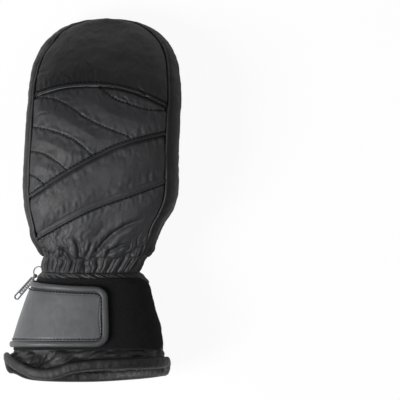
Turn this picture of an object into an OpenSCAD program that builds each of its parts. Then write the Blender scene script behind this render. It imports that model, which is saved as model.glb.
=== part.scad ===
// Insulated leather ski mitten for the left hand, lying palm down.
// +X points to the thumb side, +Y to the fingertips and +Z out of the back of the hand.
// The origin is the centre of the cuff's mouth. All sizes are in millimetres.

/* [Hand] */
// Length from the middle of the cuff's mouth to the fingertips
glove_length = 286; // [265:1:310]
// Width across the knuckles
hand_w = 123; // [100:1:150]
// Thickness over the knuckles, back to palm
hand_t = 56; // [46:1:68]
// Length of the rounded end of the fingers
tip_length = 64; // [50:1:78]
// Height of the side wall at the very tip
tip_edge = 20; // [16:1:26]
// How far the knuckles lie to the thumb side of the cuff's centre
hand_lean = 12; // [6:1:16]

/* [Wrist and cuff] */
// Length of the flared cuff, mouth to wrist
cuff_length = 78; // [64:1:92]
// Length of the gathered wrist
wrist_length = 20; // [16:1:26]
// Width of the gathered wrist
wrist_w = 80; // [68:1:92]
// Thickness of the gathered wrist
wrist_t = 53; // [46:1:60]
// Width of the cuff's mouth
cuff_w = 125; // [108:1:140]
// Height of the cuff's mouth
cuff_t = 73; // [64:1:80]
// How much further the palm side of the mouth reaches than its middle
mouth_tilt = 4; // [0:0.5:8]
// Outward bulge of the cuff's thumb side
cuff_bulge = 4.5; // [0:0.5:7]
// Radius of the rolled hem round the mouth
hem_r = 3.5; // [2.5:0.1:4.5]

/* [Layers] */
// Thickness of the leather
leather = 1.3; // [0.9:0.1:1.6]
// Space left between two layers
layer_gap = 0.4; // [0.3:0.05:0.6]
// Thickness of the waterproof insert
insert_t = 0.5; // [0.4:0.1:0.8]
// Depth of the lining's outer face under the leather, in the hand
padding = 8; // [6:0.5:10]
// Depth of the lining's outer face under the leather, in the cuff
cuff_padding = 4.3; // [4.2:0.1:4.6]
// Thickness of the lining
lining_t = 1.5; // [1:0.1:2]

/* [Thumb] */
// Radius of the thumb's opening in the palm
thumb_root_r = 20; // [16:0.5:23]
// Height of the thumb as it lies under the palm
thumb_t = 26.5; // [22:0.5:30]
// Length of the thumb from its crotch to its tip
thumb_length = 54; // [44:1:62]
// Distance of the thumb's root from the cuff's centre line
thumb_x = 38; // [32:1:42]
// Depth of the thumb's lining under its leather
thumb_padding = 3.6; // [3:0.1:4.2]

/* [Strap] */
// Width of the wrist strap at the middle of its length
strap_w = 52; // [42:1:54]
// How much wider the strap is at its root than at its free end
strap_taper = 4; // [0:0.5:8]
// Thickness of the strap's leather
strap_t = 2; // [1.4:0.1:2.6]
// Corner radius of the strap's free end
strap_corner = 9; // [5:0.5:14]
// Angle round the cuff at which the strap's free end stops
strap_end = 76; // [60:1:90]
// Thickness of the hook and of the loop material
pile_t = 1.2; // [0.8:0.1:1.6]
// Radius of the rolled edge round the strap
strap_edge_r = 1.7; // [1.3:0.1:2.2]

/* [Zip] */
// Distance between neighbouring teeth
tooth_pitch = 2.6; // [2.2:0.1:3.2]
// Width of one tape
tape_w = 6.5; // [5:0.1:8]
// Width of the slider
slider_w = 8.6; // [7.8:0.1:10]
// Length of the slider
slider_l = 11; // [9:0.5:13]
// Mean radius of the wire ring on the slider
pull_ring_r = 4.6; // [3.8:0.1:5.4]
// Length of the pull tab
pull_l = 27; // [18:1:30]

/* [Ring and hook] */
// Inner radius of the hanging ring
ring_bore_r = 4; // [3:0.25:6]
// Width of the ring's rim
ring_rim = 2; // [1.5:0.25:3]
// Thickness of the ring
ring_t = 2; // [1.5:0.25:3]
// Width of the clip hook
hook_w = 15; // [12:0.5:20]
// Length of the clip hook
hook_l = 15; // [12:0.5:20]
// Thickness of the clip hook
hook_t = 2.6; // [2:0.1:3.4]

/* [Hidden] */

leather_grey = [0.13, 0.13, 0.14];
pile_black = [0.03, 0.03, 0.035];
textile_black = [0.05, 0.05, 0.055];
padding_white = [0.82, 0.82, 0.8];
film_grey = [0.55, 0.57, 0.6];
gunmetal = [0.42, 0.42, 0.44];

fit_gap = 0.35;
floor_z = -(cuff_t / 2 + hem_r);
wrist_top = cuff_length + wrist_length;
knuckle_y = wrist_top + 52;
tip_start = glove_length - tip_length;
palm_z = floor_z + thumb_t + 2.5;
tip_fullness = 2.6;
stitch_gap = 0.1;
sewn_gap = 0.1;
collar_gap = 0.6;
patch_gap = 0.6;
// Rows of the hand, as shares of its length. Every layer has the same ones, so their facets nest.
hand_rows = round((glove_length - wrist_top) / 10.4);
function hand_vs(last) = [for (k = [0:hand_rows]) k == hand_rows ? last : max(0.004, k / hand_rows)];

// ---------------------------------------------------------------- curves

function lerp(a, b, t) = a + (b - a) * t;
function clamp01(t) = min(1, max(0, t));
function ease(t) = let (c = clamp01(t)) c * c * (3 - 2 * c);
function unit(v) = v / norm(v);
function steps(n) = [for (i = [0:n]) i / n];

// A smooth curve through keys [[place, value], ...]
function key_slope(keys, i) =
    let (a = max(0, i - 1), b = min(len(keys) - 1, i + 1))
    (keys[b][1] - keys[a][1]) / (keys[b][0] - keys[a][0]);
function key_span(keys, y, i = 0) =
    i >= len(keys) - 2 || y < keys[i + 1][0] ? i : key_span(keys, y, i + 1);
function through(keys, y) =
    let (i = key_span(keys, y), w = keys[i + 1][0] - keys[i][0], t = clamp01((y - keys[i][0]) / w))
    (1 + 2 * t) * (1 - t) * (1 - t) * keys[i][1] + t * t * (3 - 2 * t) * keys[i + 1][1]
    + t * (1 - t) * w * ((1 - t) * key_slope(keys, i) - t * key_slope(keys, i + 1));

// ---------------------------------------------------------------- outline of the mitten

wrist_x = 3.8;
centre_keys = [
    [cuff_length, wrist_x], [wrist_top, lerp(wrist_x, hand_lean, 0.5)], [knuckle_y, hand_lean],
    [tip_start, hand_lean + 3.8], [glove_length, hand_lean + 5]
];
half_keys = [
    [cuff_length, wrist_w / 2], [cuff_length + wrist_length / 2, wrist_w / 2 + 0.6],
    [lerp(wrist_top, knuckle_y, 0.27), lerp(wrist_w, hand_w, 0.5) / 2],
    [lerp(wrist_top, knuckle_y, 0.63), lerp(wrist_w, hand_w, 0.86) / 2],
    [knuckle_y, hand_w / 2], [tip_start, hand_w / 2 - 0.3], [glove_length, hand_w / 2 - 1]
];
bottom_keys = [
    [cuff_length, -wrist_t / 2], [wrist_top - 2, lerp(-wrist_t / 2, palm_z, 0.6)],
    [wrist_top + 13, palm_z + 0.3], [wrist_top + 32, palm_z], [tip_start - 17, palm_z],
    [tip_start + 8, lerp(palm_z, floor_z, 0.3)], [tip_start + 28, lerp(palm_z, floor_z, 0.68)],
    [tip_start + 46, floor_z + 1.5], [glove_length, floor_z + 1.5]
];
top_z = palm_z + hand_t;
top_keys = [
    [cuff_length, wrist_t / 2], [wrist_top, wrist_t / 2 + 4.5], [wrist_top + 27, top_z - 5],
    [knuckle_y, top_z - 1], [knuckle_y + 30, top_z], [tip_start - 17, top_z - 3.5],
    [tip_start + 3, top_z - 12], [tip_start + 23, top_z - 25.5], [tip_start + 43, top_z - 42],
    [glove_length, floor_z + 1.5 + tip_edge]
];
squareness_keys = [[cuff_length, 2.1], [wrist_top, 2.3], [knuckle_y, 3.1], [glove_length, 2.8]];

// [centre x, half width, centre z, half height, fullness above, fullness below] at y
function cuff_section(y) =
    let (t = y / cuff_length, grow = cuff_bulge * sin(180 * clamp01(t)) / 2)
    [lerp(0, wrist_x, t) + grow, lerp(cuff_w, wrist_w, t) / 2 + grow, 0, lerp(cuff_t, wrist_t, t) / 2, 2.1, 2.1];
function hand_section(y) =
    let (low = through(bottom_keys, y), high = through(top_keys, y))
    [through(centre_keys, y), through(half_keys, y), (low + high) / 2, (high - low) / 2,
     min(2.45, through(squareness_keys, y)), through(squareness_keys, y)];
function section(y) = y < cuff_length ? cuff_section(y) : hand_section(y);

function bent(c, fullness) = sign(c) * pow(abs(c), 2 / fullness);

// The point at angle a round the mitten (0 thumb side, 90 back, 180 outer side), depth d under the leather's face.
// Where narrow falls to 0, at the tip, the back and the palm close down to the shoulders of the side wall.
shoulder = 0.57;
function at(a, y, d, narrow = 1) =
    let (s = section(y), f = sin(a) >= 0 ? s[4] : s[5], rise = bent(sin(a), f),
         wall = sign(rise) * min(abs(rise), shoulder))
    [s[0] + (s[1] - d) * narrow * bent(cos(a), f),
     y + mouth_tilt * sin(a) * pow(clamp01(1 - y / cuff_length), 2),
     s[2] + (s[3] - d) * (wall + (rise - wall) * narrow)];

// Row v of the hand, 0 at first_y and 1 at the fingertips, which close round the tip
tip_share = 0.42;
function row_y(v, d, first_y) =
    v < 1 - tip_share ? lerp(first_y, tip_start, v / (1 - tip_share))
    : tip_start + (tip_length - d) * bent(sin(90 * tip_turn(v)), tip_fullness);
function tip_turn(v) = clamp01((v - 1 + tip_share) / tip_share);
function row_narrow(v) = bent(cos(90 * tip_turn(v)), tip_fullness);
function hand_at(a, v, d, first_y) = at(a, row_y(v, d, first_y), d, row_narrow(v));

// The same for pieces that are laid out by y, which is the leather's own y in the finger end
function skin(a, y, d) =
    let (r = clamp01((y - tip_start) / tip_length))
    at(a, min(y, tip_start) + r * (tip_length - d), d, pow(1 - pow(r, tip_fullness), 1 / tip_fullness));

// ---------------------------------------------------------------- solids from rows of points

function flat(rows) = [for (r = rows) each r];
function quad(a, b, c, d) = [[a, b, c], [a, c, d]];

// A sheet with thickness: outer and inner are rows of points, of the same size
module plate(outer, inner) {
    n = len(outer);
    m = len(outer[0]);
    k = n * m;
    function out(i, j) = i * m + j;
    function in(i, j) = k + i * m + j;
    polyhedron(concat(flat(outer), flat(inner)), [
        for (i = [0:n - 2], j = [0:m - 2]) each quad(out(i, j), out(i, j + 1), out(i + 1, j + 1), out(i + 1, j)),
        for (i = [0:n - 2], j = [0:m - 2]) each quad(in(i, j), in(i + 1, j), in(i + 1, j + 1), in(i, j + 1)),
        for (i = [0:n - 2]) each quad(out(i, 0), out(i + 1, 0), in(i + 1, 0), in(i, 0)),
        for (i = [0:n - 2]) each quad(out(i + 1, m - 1), out(i, m - 1), in(i, m - 1), in(i + 1, m - 1)),
        for (j = [0:m - 2]) each quad(out(0, j + 1), out(0, j), in(0, j), in(0, j + 1)),
        for (j = [0:m - 2]) each quad(out(n - 1, j), out(n - 1, j + 1), in(n - 1, j + 1), in(n - 1, j))
    ]);
}

// Closed rings of points, outer and inner. The last ring is shut when shut is true, as a bag's end is.
module sleeve(outer, inner, shut = false) {
    n = len(outer);
    m = len(outer[0]);
    k = n * m;
    function out(i, j) = i * m + j % m;
    function in(i, j) = k + i * m + j % m;
    polyhedron(concat(flat(outer), flat(inner)), [
        for (i = [0:n - 2], j = [0:m - 1]) each quad(out(i, j), out(i, j + 1), out(i + 1, j + 1), out(i + 1, j)),
        for (i = [0:n - 2], j = [0:m - 1]) each quad(in(i, j), in(i + 1, j), in(i + 1, j + 1), in(i, j + 1)),
        for (j = [0:m - 1]) each quad(out(0, j + 1), out(0, j), in(0, j), in(0, j + 1)),
        for (j = [0:m - 1]) if (!shut) each quad(out(n - 1, j), out(n - 1, j + 1), in(n - 1, j + 1), in(n - 1, j)),
        if (shut) [for (j = [0:m - 1]) out(n - 1, j)],
        if (shut) [for (j = [m - 1:-1:0]) in(n - 1, j)]
    ]);
}

// A solid bar along rings of points, closed at both ends, or joined end to end when looped is true
module bar(rings, looped = false) {
    n = len(rings);
    m = len(rings[0]);
    last = looped ? n - 1 : n - 2;
    function p(i, j) = (i % n) * m + j % m;
    polyhedron(flat(rings), [
        for (i = [0:last], j = [0:m - 1]) each quad(p(i, j), p(i, j + 1), p(i + 1, j + 1), p(i + 1, j)),
        if (!looped) [for (j = [m - 1:-1:0]) p(0, j)],
        if (!looped) [for (j = [0:m - 1]) p(n - 1, j)]
    ]);
}

// ---------------------------------------------------------------- seams of the hand

// The seams between the side wall and the back, and between the side wall and the palm, at y
function finger_end(y) = ease((y - tip_start) / tip_length);
function back_seam_thumb(y) = lerp(35, 30, finger_end(y));
function back_seam_outer(y) = lerp(156, 150, finger_end(y));
palm_seam_thumb = -32;
palm_seam_outer = -148;

// Seams across the back, as y at x. They run from the outer side to the thumb side.
fingertip_seam_y = tip_start + 7;
function fingertip_seam(x) = fingertip_seam_y - pow(x - 4, 2) / 215;
band_seam_keys = [
    [-48, knuckle_y - 15], [-14, knuckle_y + 6.5], [28, knuckle_y + 28.5], [66, knuckle_y + 39]
];
lower_seam_keys = [
    [-44, knuckle_y - 50], [-10, knuckle_y - 28.5], [20, knuckle_y - 14.5], [66, knuckle_y + 2.5]
];
function seam_y(which, x) =
    which == "fingertip" ? fingertip_seam(x)
    : which == "band" ? through(band_seam_keys, x)
    : through(lower_seam_keys, x);

function back_angle(u, y) = lerp(back_seam_thumb(y), back_seam_outer(y), u);
function back_point(u, y, d) = skin(back_angle(u, y), y, d);
// Where column u of the back meets a seam, found by closing in on it
function seam_at(which, u, y, rounds = 4) =
    rounds == 0 ? y : seam_at(which, u, seam_y(which, back_point(u, y, 0)[0]), rounds - 1);
function column_seam(which, u) =
    which == "wrist" ? wrist_top
    : which == "tip" ? glove_length - 0.15
    : seam_at(which, u, knuckle_y + 20);

edge_trim = 0.003;
back_columns = 14;
module back_panel(from, to, rows) {
    us = [for (t = steps(back_columns)) lerp(edge_trim, 1 - edge_trim, t)];
    function grid(d) = [
        for (u = us) let (a = column_seam(from, u) + stitch_gap, b = column_seam(to, u) - stitch_gap)
            [for (t = steps(rows)) back_point(u, lerp(a, b, to == "tip" ? sin(90 * t) : t), d)]
    ];
    color(leather_grey) plate(grid(0), grid(leather));
}

module fingertip_back_panel() back_panel("fingertip", "tip", 9);
module quilted_back_panel() back_panel("band", "fingertip", round((fingertip_seam_y - knuckle_y) / 13));
module band_back_panel() back_panel("lower", "band", 4);
module lower_back_panel() back_panel("wrist", "lower", 7);

// The wall round the hand: up the outer side, round the fingertips and down the thumb side
module side_gusset() {
    trim = 0.35;
    function wall(side, v, t, d) =
        let (y = row_y(v, d, wrist_top),
             top = side > 0 ? back_seam_thumb(y) - trim : back_seam_outer(y) + trim,
             low = side > 0 ? palm_seam_thumb + trim : 360 + palm_seam_outer - trim)
        hand_at(lerp(low, top, t), v, d, wrist_top);
    columns = 5;
    vs = hand_vs(1);
    function grid(d) = concat(
        [for (k = [0:hand_rows]) [for (t = steps(columns)) wall(-1, vs[k], 1 - t, d)]],
        [for (k = [hand_rows - 1:-1:0]) [for (t = steps(columns)) wall(1, vs[k], 1 - t, d)]]
    );
    color(leather_grey) plate(grid(leather), grid(0));
}

palm_trim = 0.35;
function palm_angle(u) = lerp(palm_seam_thumb - palm_trim, palm_seam_outer + palm_trim, u);
thumb_y = wrist_top + 35;
module thumb_hole(r) {
    translate([thumb_x, thumb_y, floor_z]) cylinder(h = -floor_z, r = r, $fn = 48);
}

module palm_panel() {
    function grid(d) = [for (u = steps(14)) [for (v = hand_vs(0.985)) hand_at(palm_angle(u), v, d, wrist_top)]];
    color(leather_grey) difference() {
        plate(grid(leather), grid(0));
        thumb_hole(thumb_root_r - leather);
    }
}

// A second layer of leather over the heel of the hand and the finger roots
module palm_patch() {
    first = wrist_top + 14;
    last = tip_start + 6;
    function grid(d) = [
        for (u = steps(8)) let (a = lerp(-100, palm_seam_outer + 10, u), cut = 8 * pow(2 * u - 1, 4))
            [for (t = steps(12)) skin(a, lerp(first + cut, last - cut, t), d)]
    ];
    color(leather_grey) plate(grid(-patch_gap), grid(-patch_gap - leather));
}

// ---------------------------------------------------------------- layers inside the hand

around = 24;
function ring_at(y, d) = [for (j = [0:around - 1]) at(360 * j / around, y, d)];
function lining_depth(y) = lerp(cuff_padding, padding, ease((y - wrist_top + 4) / 18));

// A bag between two depths, from the wrist to the fingertips. The lining's goes on down the cuff through cuff_ys.
module hand_layer(outer_d, inner_d, cuff_ys = []) {
    vs = hand_vs(0.97);
    function hand_ring(v, d) = [for (j = [0:around - 1]) hand_at(360 * j / around, v, d, wrist_top)];
    function rings(depth) = concat(
        [for (y = cuff_ys) ring_at(y, depth(y))],
        [for (v = vs) hand_ring(v, depth(row_y(v, 0, wrist_top)))]
    );
    sleeve(rings(outer_d), rings(inner_d), shut = true);
}

insert_d = leather + layer_gap;
module waterproof_insert() {
    color(film_grey) difference() {
        hand_layer(function(y) insert_d, function(y) insert_d + insert_t);
        thumb_hole(thumb_root_r - insert_d);
    }
}

wadding_d = insert_d + insert_t + layer_gap;
module insulation() {
    color(padding_white) difference() {
        hand_layer(function(y) wadding_d, function(y) lining_depth(y) - layer_gap);
        thumb_hole(thumb_root_r - wadding_d);
    }
}

module lining() {
    cuff_ys = concat([for (t = steps(4)) lerp(hem_r + 1, cuff_length, t)],
                     [for (t = [0.25, 0.5, 0.75]) lerp(cuff_length, wrist_top, t)]);
    color(textile_black) difference() {
        hand_layer(function(y) lining_depth(y), function(y) lining_depth(y) + lining_t, cuff_ys);
        thumb_hole(thumb_root_r - thumb_padding);
    }
}

// ---------------------------------------------------------------- wrist and cuff

module gathered_wrist() {
    function rings(d) = [for (t = steps(4)) ring_at(lerp(cuff_length + stitch_gap, wrist_top - stitch_gap, t), d)];
    color(leather_grey) difference() {
        sleeve(rings(0), rings(leather));
        on_zip() translate([zip_length - zip_notch / 2 + notch_gap, 0, 0])
            cube([zip_notch, tape_slit + 2 * tape_w + 2 * notch_gap, 6 * leather], center = true);
    }
}

// The zip's upper end lies in a notch in the wrist's lower edge
zip_notch = 12;
notch_gap = 1.8;

elastic_w = 5;
elastic_t = 0.9;
module wrist_elastic(y) {
    face = leather + layer_gap;
    sleeve([for (s = [-1, 1]) ring_at(y + s * elastic_w / 2, face)],
           [for (s = [-1, 1]) ring_at(y + s * elastic_w / 2, face + elastic_t)]);
}
module wrist_elastics() color(textile_black)
    for (middle = [0.45, 0.82]) wrist_elastic(lerp(cuff_length, wrist_top, middle));

zip_angle = 207;
zip_slot = 8.5;
cuff_seam = 0.5;
cuff_first = hem_r + 0.6;
module cuff_panel(from, to, columns) {
    function grid(d) = [
        for (t = steps(columns)) [
            for (s = steps(5)) at(lerp(from, to, t), lerp(cuff_first, cuff_length - stitch_gap, s), d)
        ]
    ];
    color(leather_grey) plate(grid(0), grid(leather));
}
module cuff_back_panel() cuff_panel(cuff_seam, zip_angle - zip_slot, 20);
module cuff_palm_panel() cuff_panel(zip_angle + zip_slot, 360 - cuff_seam, 16);

// The mouth's edge: an outward direction and the hem's own circle round the leather's middle
hem_rings = 40;
module hem_binding() {
    function ring(a) =
        let (mid = at(a, 0, leather / 2), out = unit(at(a, 0, -1) - at(a, 0, 1)))
        [for (k = [0:7]) mid + hem_r * (out * cos(45 * k) + [0, 1, 0] * sin(45 * k))];
    color(leather_grey) bar([for (i = [0:hem_rings - 1]) ring(360 * i / hem_rings)], looped = true);
}

// ---------------------------------------------------------------- strap

patch_d = -fit_gap / 2;
hook_patch_d = patch_d - pile_t - fit_gap;
strap_d = hook_patch_d - pile_t - fit_gap / 2;
strap_mid_y = 41.5;
strap_slope = 2.2;
strap_root = 181;
patch_low = 14;
patch_high = cuff_length - 5;

module loop_patch() {
    from = 14;
    to = 172;
    corner = 9;
    function cut(t) = corner * (1 - sqrt(1 - pow(clamp01(1 - t * 12), 2)));
    function grid(d) = [
        for (t = steps(18)) [
            for (s = steps(4)) at(lerp(from, to, t), lerp(patch_low + cut(t), patch_high - cut(t), s), d)
        ]
    ];
    color(pile_black) plate(grid(patch_d - pile_t), grid(patch_d));
}

// The strap's edges as y at a share t of its length, 0 at the root and 1 at the free end.
// strap_run is its length in all, at the rate it has near the free end, where the corners are.
strap_run = (strap_root - strap_end)
    * norm(at(strap_end + 1, strap_mid_y, strap_d) - at(strap_end, strap_mid_y, strap_d));
function strap_round(t, inset = 0) =
    let (r = strap_corner - inset, past = strap_corner - (1 - t) * strap_run)
    past <= 0 ? 0 : r - sqrt(max(0, r * r - past * past));
function strap_y(t, s, inset = 0) =
    let (half = (strap_w + strap_taper * (0.5 - t)) / 2 - inset - strap_round(t, inset))
    strap_mid_y + strap_slope * (0.5 - t) + lerp(-half, half, s);
function strap_a(t) = lerp(strap_root, strap_end, t);
strap_steps = concat([for (t = steps(9)) t * 0.9], [0.93, 0.955, 0.975, 0.99, 1]);

module strap_sheet(outer_d, inner_d, inset, first = 0, last = 1) {
    function grid(d) = [
        for (k = strap_steps) let (t = lerp(first, last, k))
            [for (s = steps(5)) at(strap_a(t), strap_y(t, s, inset), d)]
    ];
    plate(grid(inner_d), grid(outer_d));
}

edge_inset = 2 * strap_edge_r + 0.3;
module strap() color(leather_grey) 
    strap_sheet(strap_d - strap_t, strap_d, edge_inset, 0, 1 - edge_inset / strap_run);
module strap_hook_patch() color(pile_black) strap_sheet(hook_patch_d - pile_t, hook_patch_d, edge_inset + 3, 0.42, 0.93);

// The rolled edge runs along the lower edge, round the free end and back along the upper edge
module strap_edging() {
    mid_d = strap_d - strap_t / 2;
    last = 1 - strap_edge_r / strap_run;
    path = concat([for (t = strap_steps) [t * last, 0]], [for (s = [0.25, 0.5, 0.75]) [last, s]],
                  [for (k = [len(strap_steps) - 1:-1:0]) [strap_steps[k] * last, 1]]);
    function spot(i, d) = at(strap_a(path[i][0]), strap_y(path[i][0], path[i][1], strap_edge_r), d);
    function ring(i) =
        let (a = max(0, i - 1), b = min(len(path) - 1, i + 1),
             along = unit(spot(b, mid_d) - spot(a, mid_d)),
             up = unit(spot(i, mid_d - 1) - spot(i, mid_d)),
             side = unit(cross(up, along)))
        [for (k = [0:5]) spot(i, mid_d) + strap_edge_r * (side * cos(60 * k) - up * sin(60 * k))];
    color(leather_grey) bar([for (i = [0:len(path) - 1]) ring(i)]);
}

// The sewn root of the strap, on the cuff's outer side just above the zip
module strap_anchor() {
    from = strap_root + 1.6;
    to = zip_angle - zip_slot - 1;
    function grid(d) = [
        for (t = steps(4)) [for (s = steps(4)) at(lerp(from, to, t), strap_y(0, s, 1), d)]
    ];
    color(leather_grey) plate(grid(patch_d - strap_t), grid(patch_d));
}

// ---------------------------------------------------------------- zip

zip_low = at(zip_angle, 9, 0);
zip_reach = 4;
zip_top = at(zip_angle, cuff_length, 0);
zip_along = unit(zip_top - zip_low);
zip_out = unit(cross(zip_along, unit(at(zip_angle + 2, 40, 0) - at(zip_angle - 2, 40, 0))));
zip_across = cross(zip_out, zip_along);
zip_length = norm(zip_top - zip_low) + zip_reach;

// Local frame of the zip: x along it to the wrist, y across, z out of the cuff, origin at the hem end
module on_zip() {
    e = zip_along;
    f = zip_across;
    g = zip_out;
    o = zip_low;
    multmatrix([
        [e[0], f[0], g[0], o[0]], [e[1], f[1], g[1], o[1]], [e[2], f[2], g[2], o[2]], [0, 0, 0, 1]
    ]) children();
}

tape_t = 0.4;
tape_gap = 0.3;
tape_slit = 1.8;
tape_z = -(leather + tape_gap + tape_t);
tooth_h = 1.5;
// The angle that is across mm from the zip's middle line at y
function zip_a(y, across) =
    zip_angle + across / norm(at(zip_angle + 0.5, y, 0) - at(zip_angle - 0.5, y, 0));
module zip_tapes() {
    face = leather + tape_gap;
    function line(across, d) = concat(
        [for (t = steps(5)) let (y = lerp(zip_low[1], cuff_length, t)) at(zip_a(y, across), y, d)],
        [at(zip_a(cuff_length, across), cuff_length, d) + zip_reach * zip_along]
    );
    function grid(side, d) = [
        for (u = steps(3)) line(side * lerp(tape_slit / 2, tape_slit / 2 + tape_w, side > 0 ? u : 1 - u), d)
    ];
    color(textile_black) for (side = [-1, 1]) plate(grid(side, face), grid(side, face + tape_t));
}

tooth_w = 1.9;
tooth_l = 1.3;
teeth_z = tape_z + tape_t + 0.3;
teeth_first = 4;
tooth_count = floor((zip_length - 2 * teeth_first) / tooth_pitch);
module zip_teeth() {
    color(gunmetal) on_zip() for (k = [0:tooth_count - 1], side = [-1, 1])
        translate([teeth_first + (k + (side > 0 ? 0.5 : 0)) * tooth_pitch, side * (tape_slit + tooth_w) / 2, teeth_z])
            translate([0, 0, tooth_h / 2]) cube([tooth_l, tooth_w, tooth_h], center = true);
}

stop_l = 1.6;
module zip_stops() {
    color(gunmetal) on_zip() {
        translate([1.2, 0, teeth_z + tooth_h / 2]) cube([stop_l, tape_slit + 2 * tooth_w, tooth_h], center = true);
        for (side = [-1, 1])
            translate([zip_length - 1.2, side * (tape_slit + tooth_w) / 2, teeth_z + tooth_h / 2])
                cube([stop_l, tooth_w, tooth_h], center = true);
    }
}

// Slider: outer plate with side flanges, a thin wedge through the slit and an inner plate
plate_t = 0.9;
slider_x = zip_length - slider_l / 2 - 2.2;
slider_z = teeth_z + tooth_h + fit_gap;
crown_r = 2.3;
crown_wire = 0.9;
crown_z = slider_z + plate_t + 1.1;
module zip_slider() {
    slope_w = slider_w - 2.2;
    wedge_w = 0.7;
    inner_t = 0.7;
    inner_z = tape_z - 0.6 - inner_t;
    color(gunmetal) on_zip() translate([slider_x, 0, 0]) union() {
        translate([0, 0, slider_z]) linear_extrude(plate_t)
            polygon([[-slider_l / 2, -slope_w / 2], [slider_l / 2, -slider_w / 2],
                     [slider_l / 2, slider_w / 2], [-slider_l / 2, slope_w / 2]]);
        translate([0, 0, inner_z]) linear_extrude(inner_t)
            square([slider_l, slope_w - 1], center = true);
        translate([slider_l / 2 - 1.5, 0, (inner_z + slider_z + plate_t) / 2])
            cube([2, wedge_w, slider_z - inner_z + plate_t / 2], center = true);
        translate([0, 0, crown_z]) rotate([0, 90, 0]) difference() {
            cylinder(h = 3, r = crown_r, center = true, $fn = 32);
            cylinder(h = 4, r = crown_r - crown_wire, center = true, $fn = 32);
        }
    }
}

// The wire ring hangs in the slider's crown and swings about the zip's direction
ring_wire_r = 0.5;
ring_droop = 24;
crown_at = zip_low + zip_along * slider_x + zip_out * crown_z;
ring_side = unit([-1, zip_along[0] / zip_along[1], 0]);
ring_out = unit(ring_side * cos(ring_droop) + [0, 0, -1] * sin(ring_droop));
ring_up = unit(cross(ring_out, zip_along));
ring_centre = crown_at + ring_out * (pull_ring_r + crown_r - crown_wire - ring_wire_r - 0.12 - 0.4);
module pull_ring() {
    e = ring_out;
    f = unit(cross(ring_up, ring_out));
    g = ring_up;
    o = ring_centre;
    color(gunmetal) multmatrix([
        [e[0], f[0], g[0], o[0]], [e[1], f[1], g[1], o[1]], [e[2], f[2], g[2], o[2]], [0, 0, 0, 1]
    ]) rotate_extrude($fn = 48) translate([pull_ring_r, 0]) circle(r = ring_wire_r, $fn = 20);
}

// The tab hangs on the ring by its own eye and points down and outwards
tab_w = 3.6;
tab_t = 1.8;
eye_r = 1.9;
tab_turn = 62;
module pull_tab() {
    e = unit(ring_out * cos(tab_turn) - cross(ring_up, ring_out) * sin(tab_turn));
    g = ring_up;
    f = cross(g, e);
    o = ring_centre + e * pull_ring_r;
    color(gunmetal) multmatrix([
        [e[0], f[0], g[0], o[0]], [e[1], f[1], g[1], o[1]], [e[2], f[2], g[2], o[2]], [0, 0, 0, 1]
    ]) union() {
        rotate([90, 0, 0]) difference() {
            cylinder(h = 2, r = eye_r, center = true, $fn = 32);
            cylinder(h = 3, r = ring_wire_r + 0.45, center = true, $fn = 32);
        }
        translate([eye_r + (pull_l - eye_r) / 2 - 0.4, 0, 0]) cube([pull_l - eye_r, tab_w, tab_t], center = true);
        for (k = [0:5]) translate([eye_r + 5 + k * 2.6, 0, 0]) cube([1.2, tab_w, tab_t + 0.6], center = true);
    }
}

// ---------------------------------------------------------------- ring and hook

// The ring hangs under the thumb side of the wrist end of the cuff, the hook under the palm side of the mouth
ring_y = cuff_length - 5;
ring_around = -42;
ring_seat = at(ring_around, ring_y, -sewn_gap);
ring_reach = 5.2;
ring_web_w = 3;
ring_slant = 1.2;
web_t = 1.2;
web_w = 7;
ring_mid_r = ring_bore_r + ring_rim / 2;
ring_sag = ring_mid_r - sqrt(pow(ring_mid_r, 2) - pow(ring_web_w / 2, 2));
ring_eye_r = norm([ring_t, ring_rim]) / 2 + ring_sag + 0.15;
ring_eye = [ring_seat[0] + ring_reach, ring_y, ring_seat[2]];
module ring_loop() {
    color(textile_black) translate(ring_eye) rotate([90, 0, 0]) difference() {
        union() {
            cylinder(h = ring_web_w, r = ring_eye_r + web_t, center = true, $fn = 32);
            translate([-ring_reach / 2 + ring_slant, 0, 0])
                cube([ring_reach - 2 * ring_slant, 2 * web_t, ring_web_w], center = true);
        }
        cylinder(h = ring_web_w + 1, r = ring_eye_r, center = true, $fn = 32);
    }
}

module hanging_ring() {
    color(textile_black) translate(ring_eye - [0, 0, ring_mid_r]) rotate([0, 90, 0])
        rotate_extrude($fn = 64) translate([ring_bore_r, -ring_t / 2]) polygon([
            [0, 0], [ring_rim * 0.6, 0], [ring_rim, ring_t * 0.3], [ring_rim, ring_t * 0.7],
            [ring_rim * 0.6, ring_t], [0, ring_t]
        ]);
}

// The clip hook hangs on a webbing loop inside the palm side of the hem and lies folded under the cuff
hook_x = 20;
hook_pin_y = 6.5;
hook_pin_r = 1.2;
hook_clear = 0.3;
hook_z = floor_z + hook_t / 2 + hook_clear;
hook_eye_r = hook_pin_r + 0.15;
hook_web = 0.8;
bar_gap = web_w + 0.8;
ear_l = 5;
module hook_loop() {
    hem_face = at(-70, hook_pin_y, 0)[2];
    color(textile_black) translate([hook_x, hook_pin_y, hook_z]) rotate([0, 90, 0]) difference() {
        union() {
            cylinder(h = web_w, r = hook_eye_r + hook_web, center = true, $fn = 32);
            translate([-(hem_face - hook_z) / 2, 0, 0])
                cube([hem_face - hook_z - 1.2, 2 * hook_web, web_w], center = true);
        }
        cylinder(h = web_w + 1, r = hook_eye_r, center = true, $fn = 32);
    }
}

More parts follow.
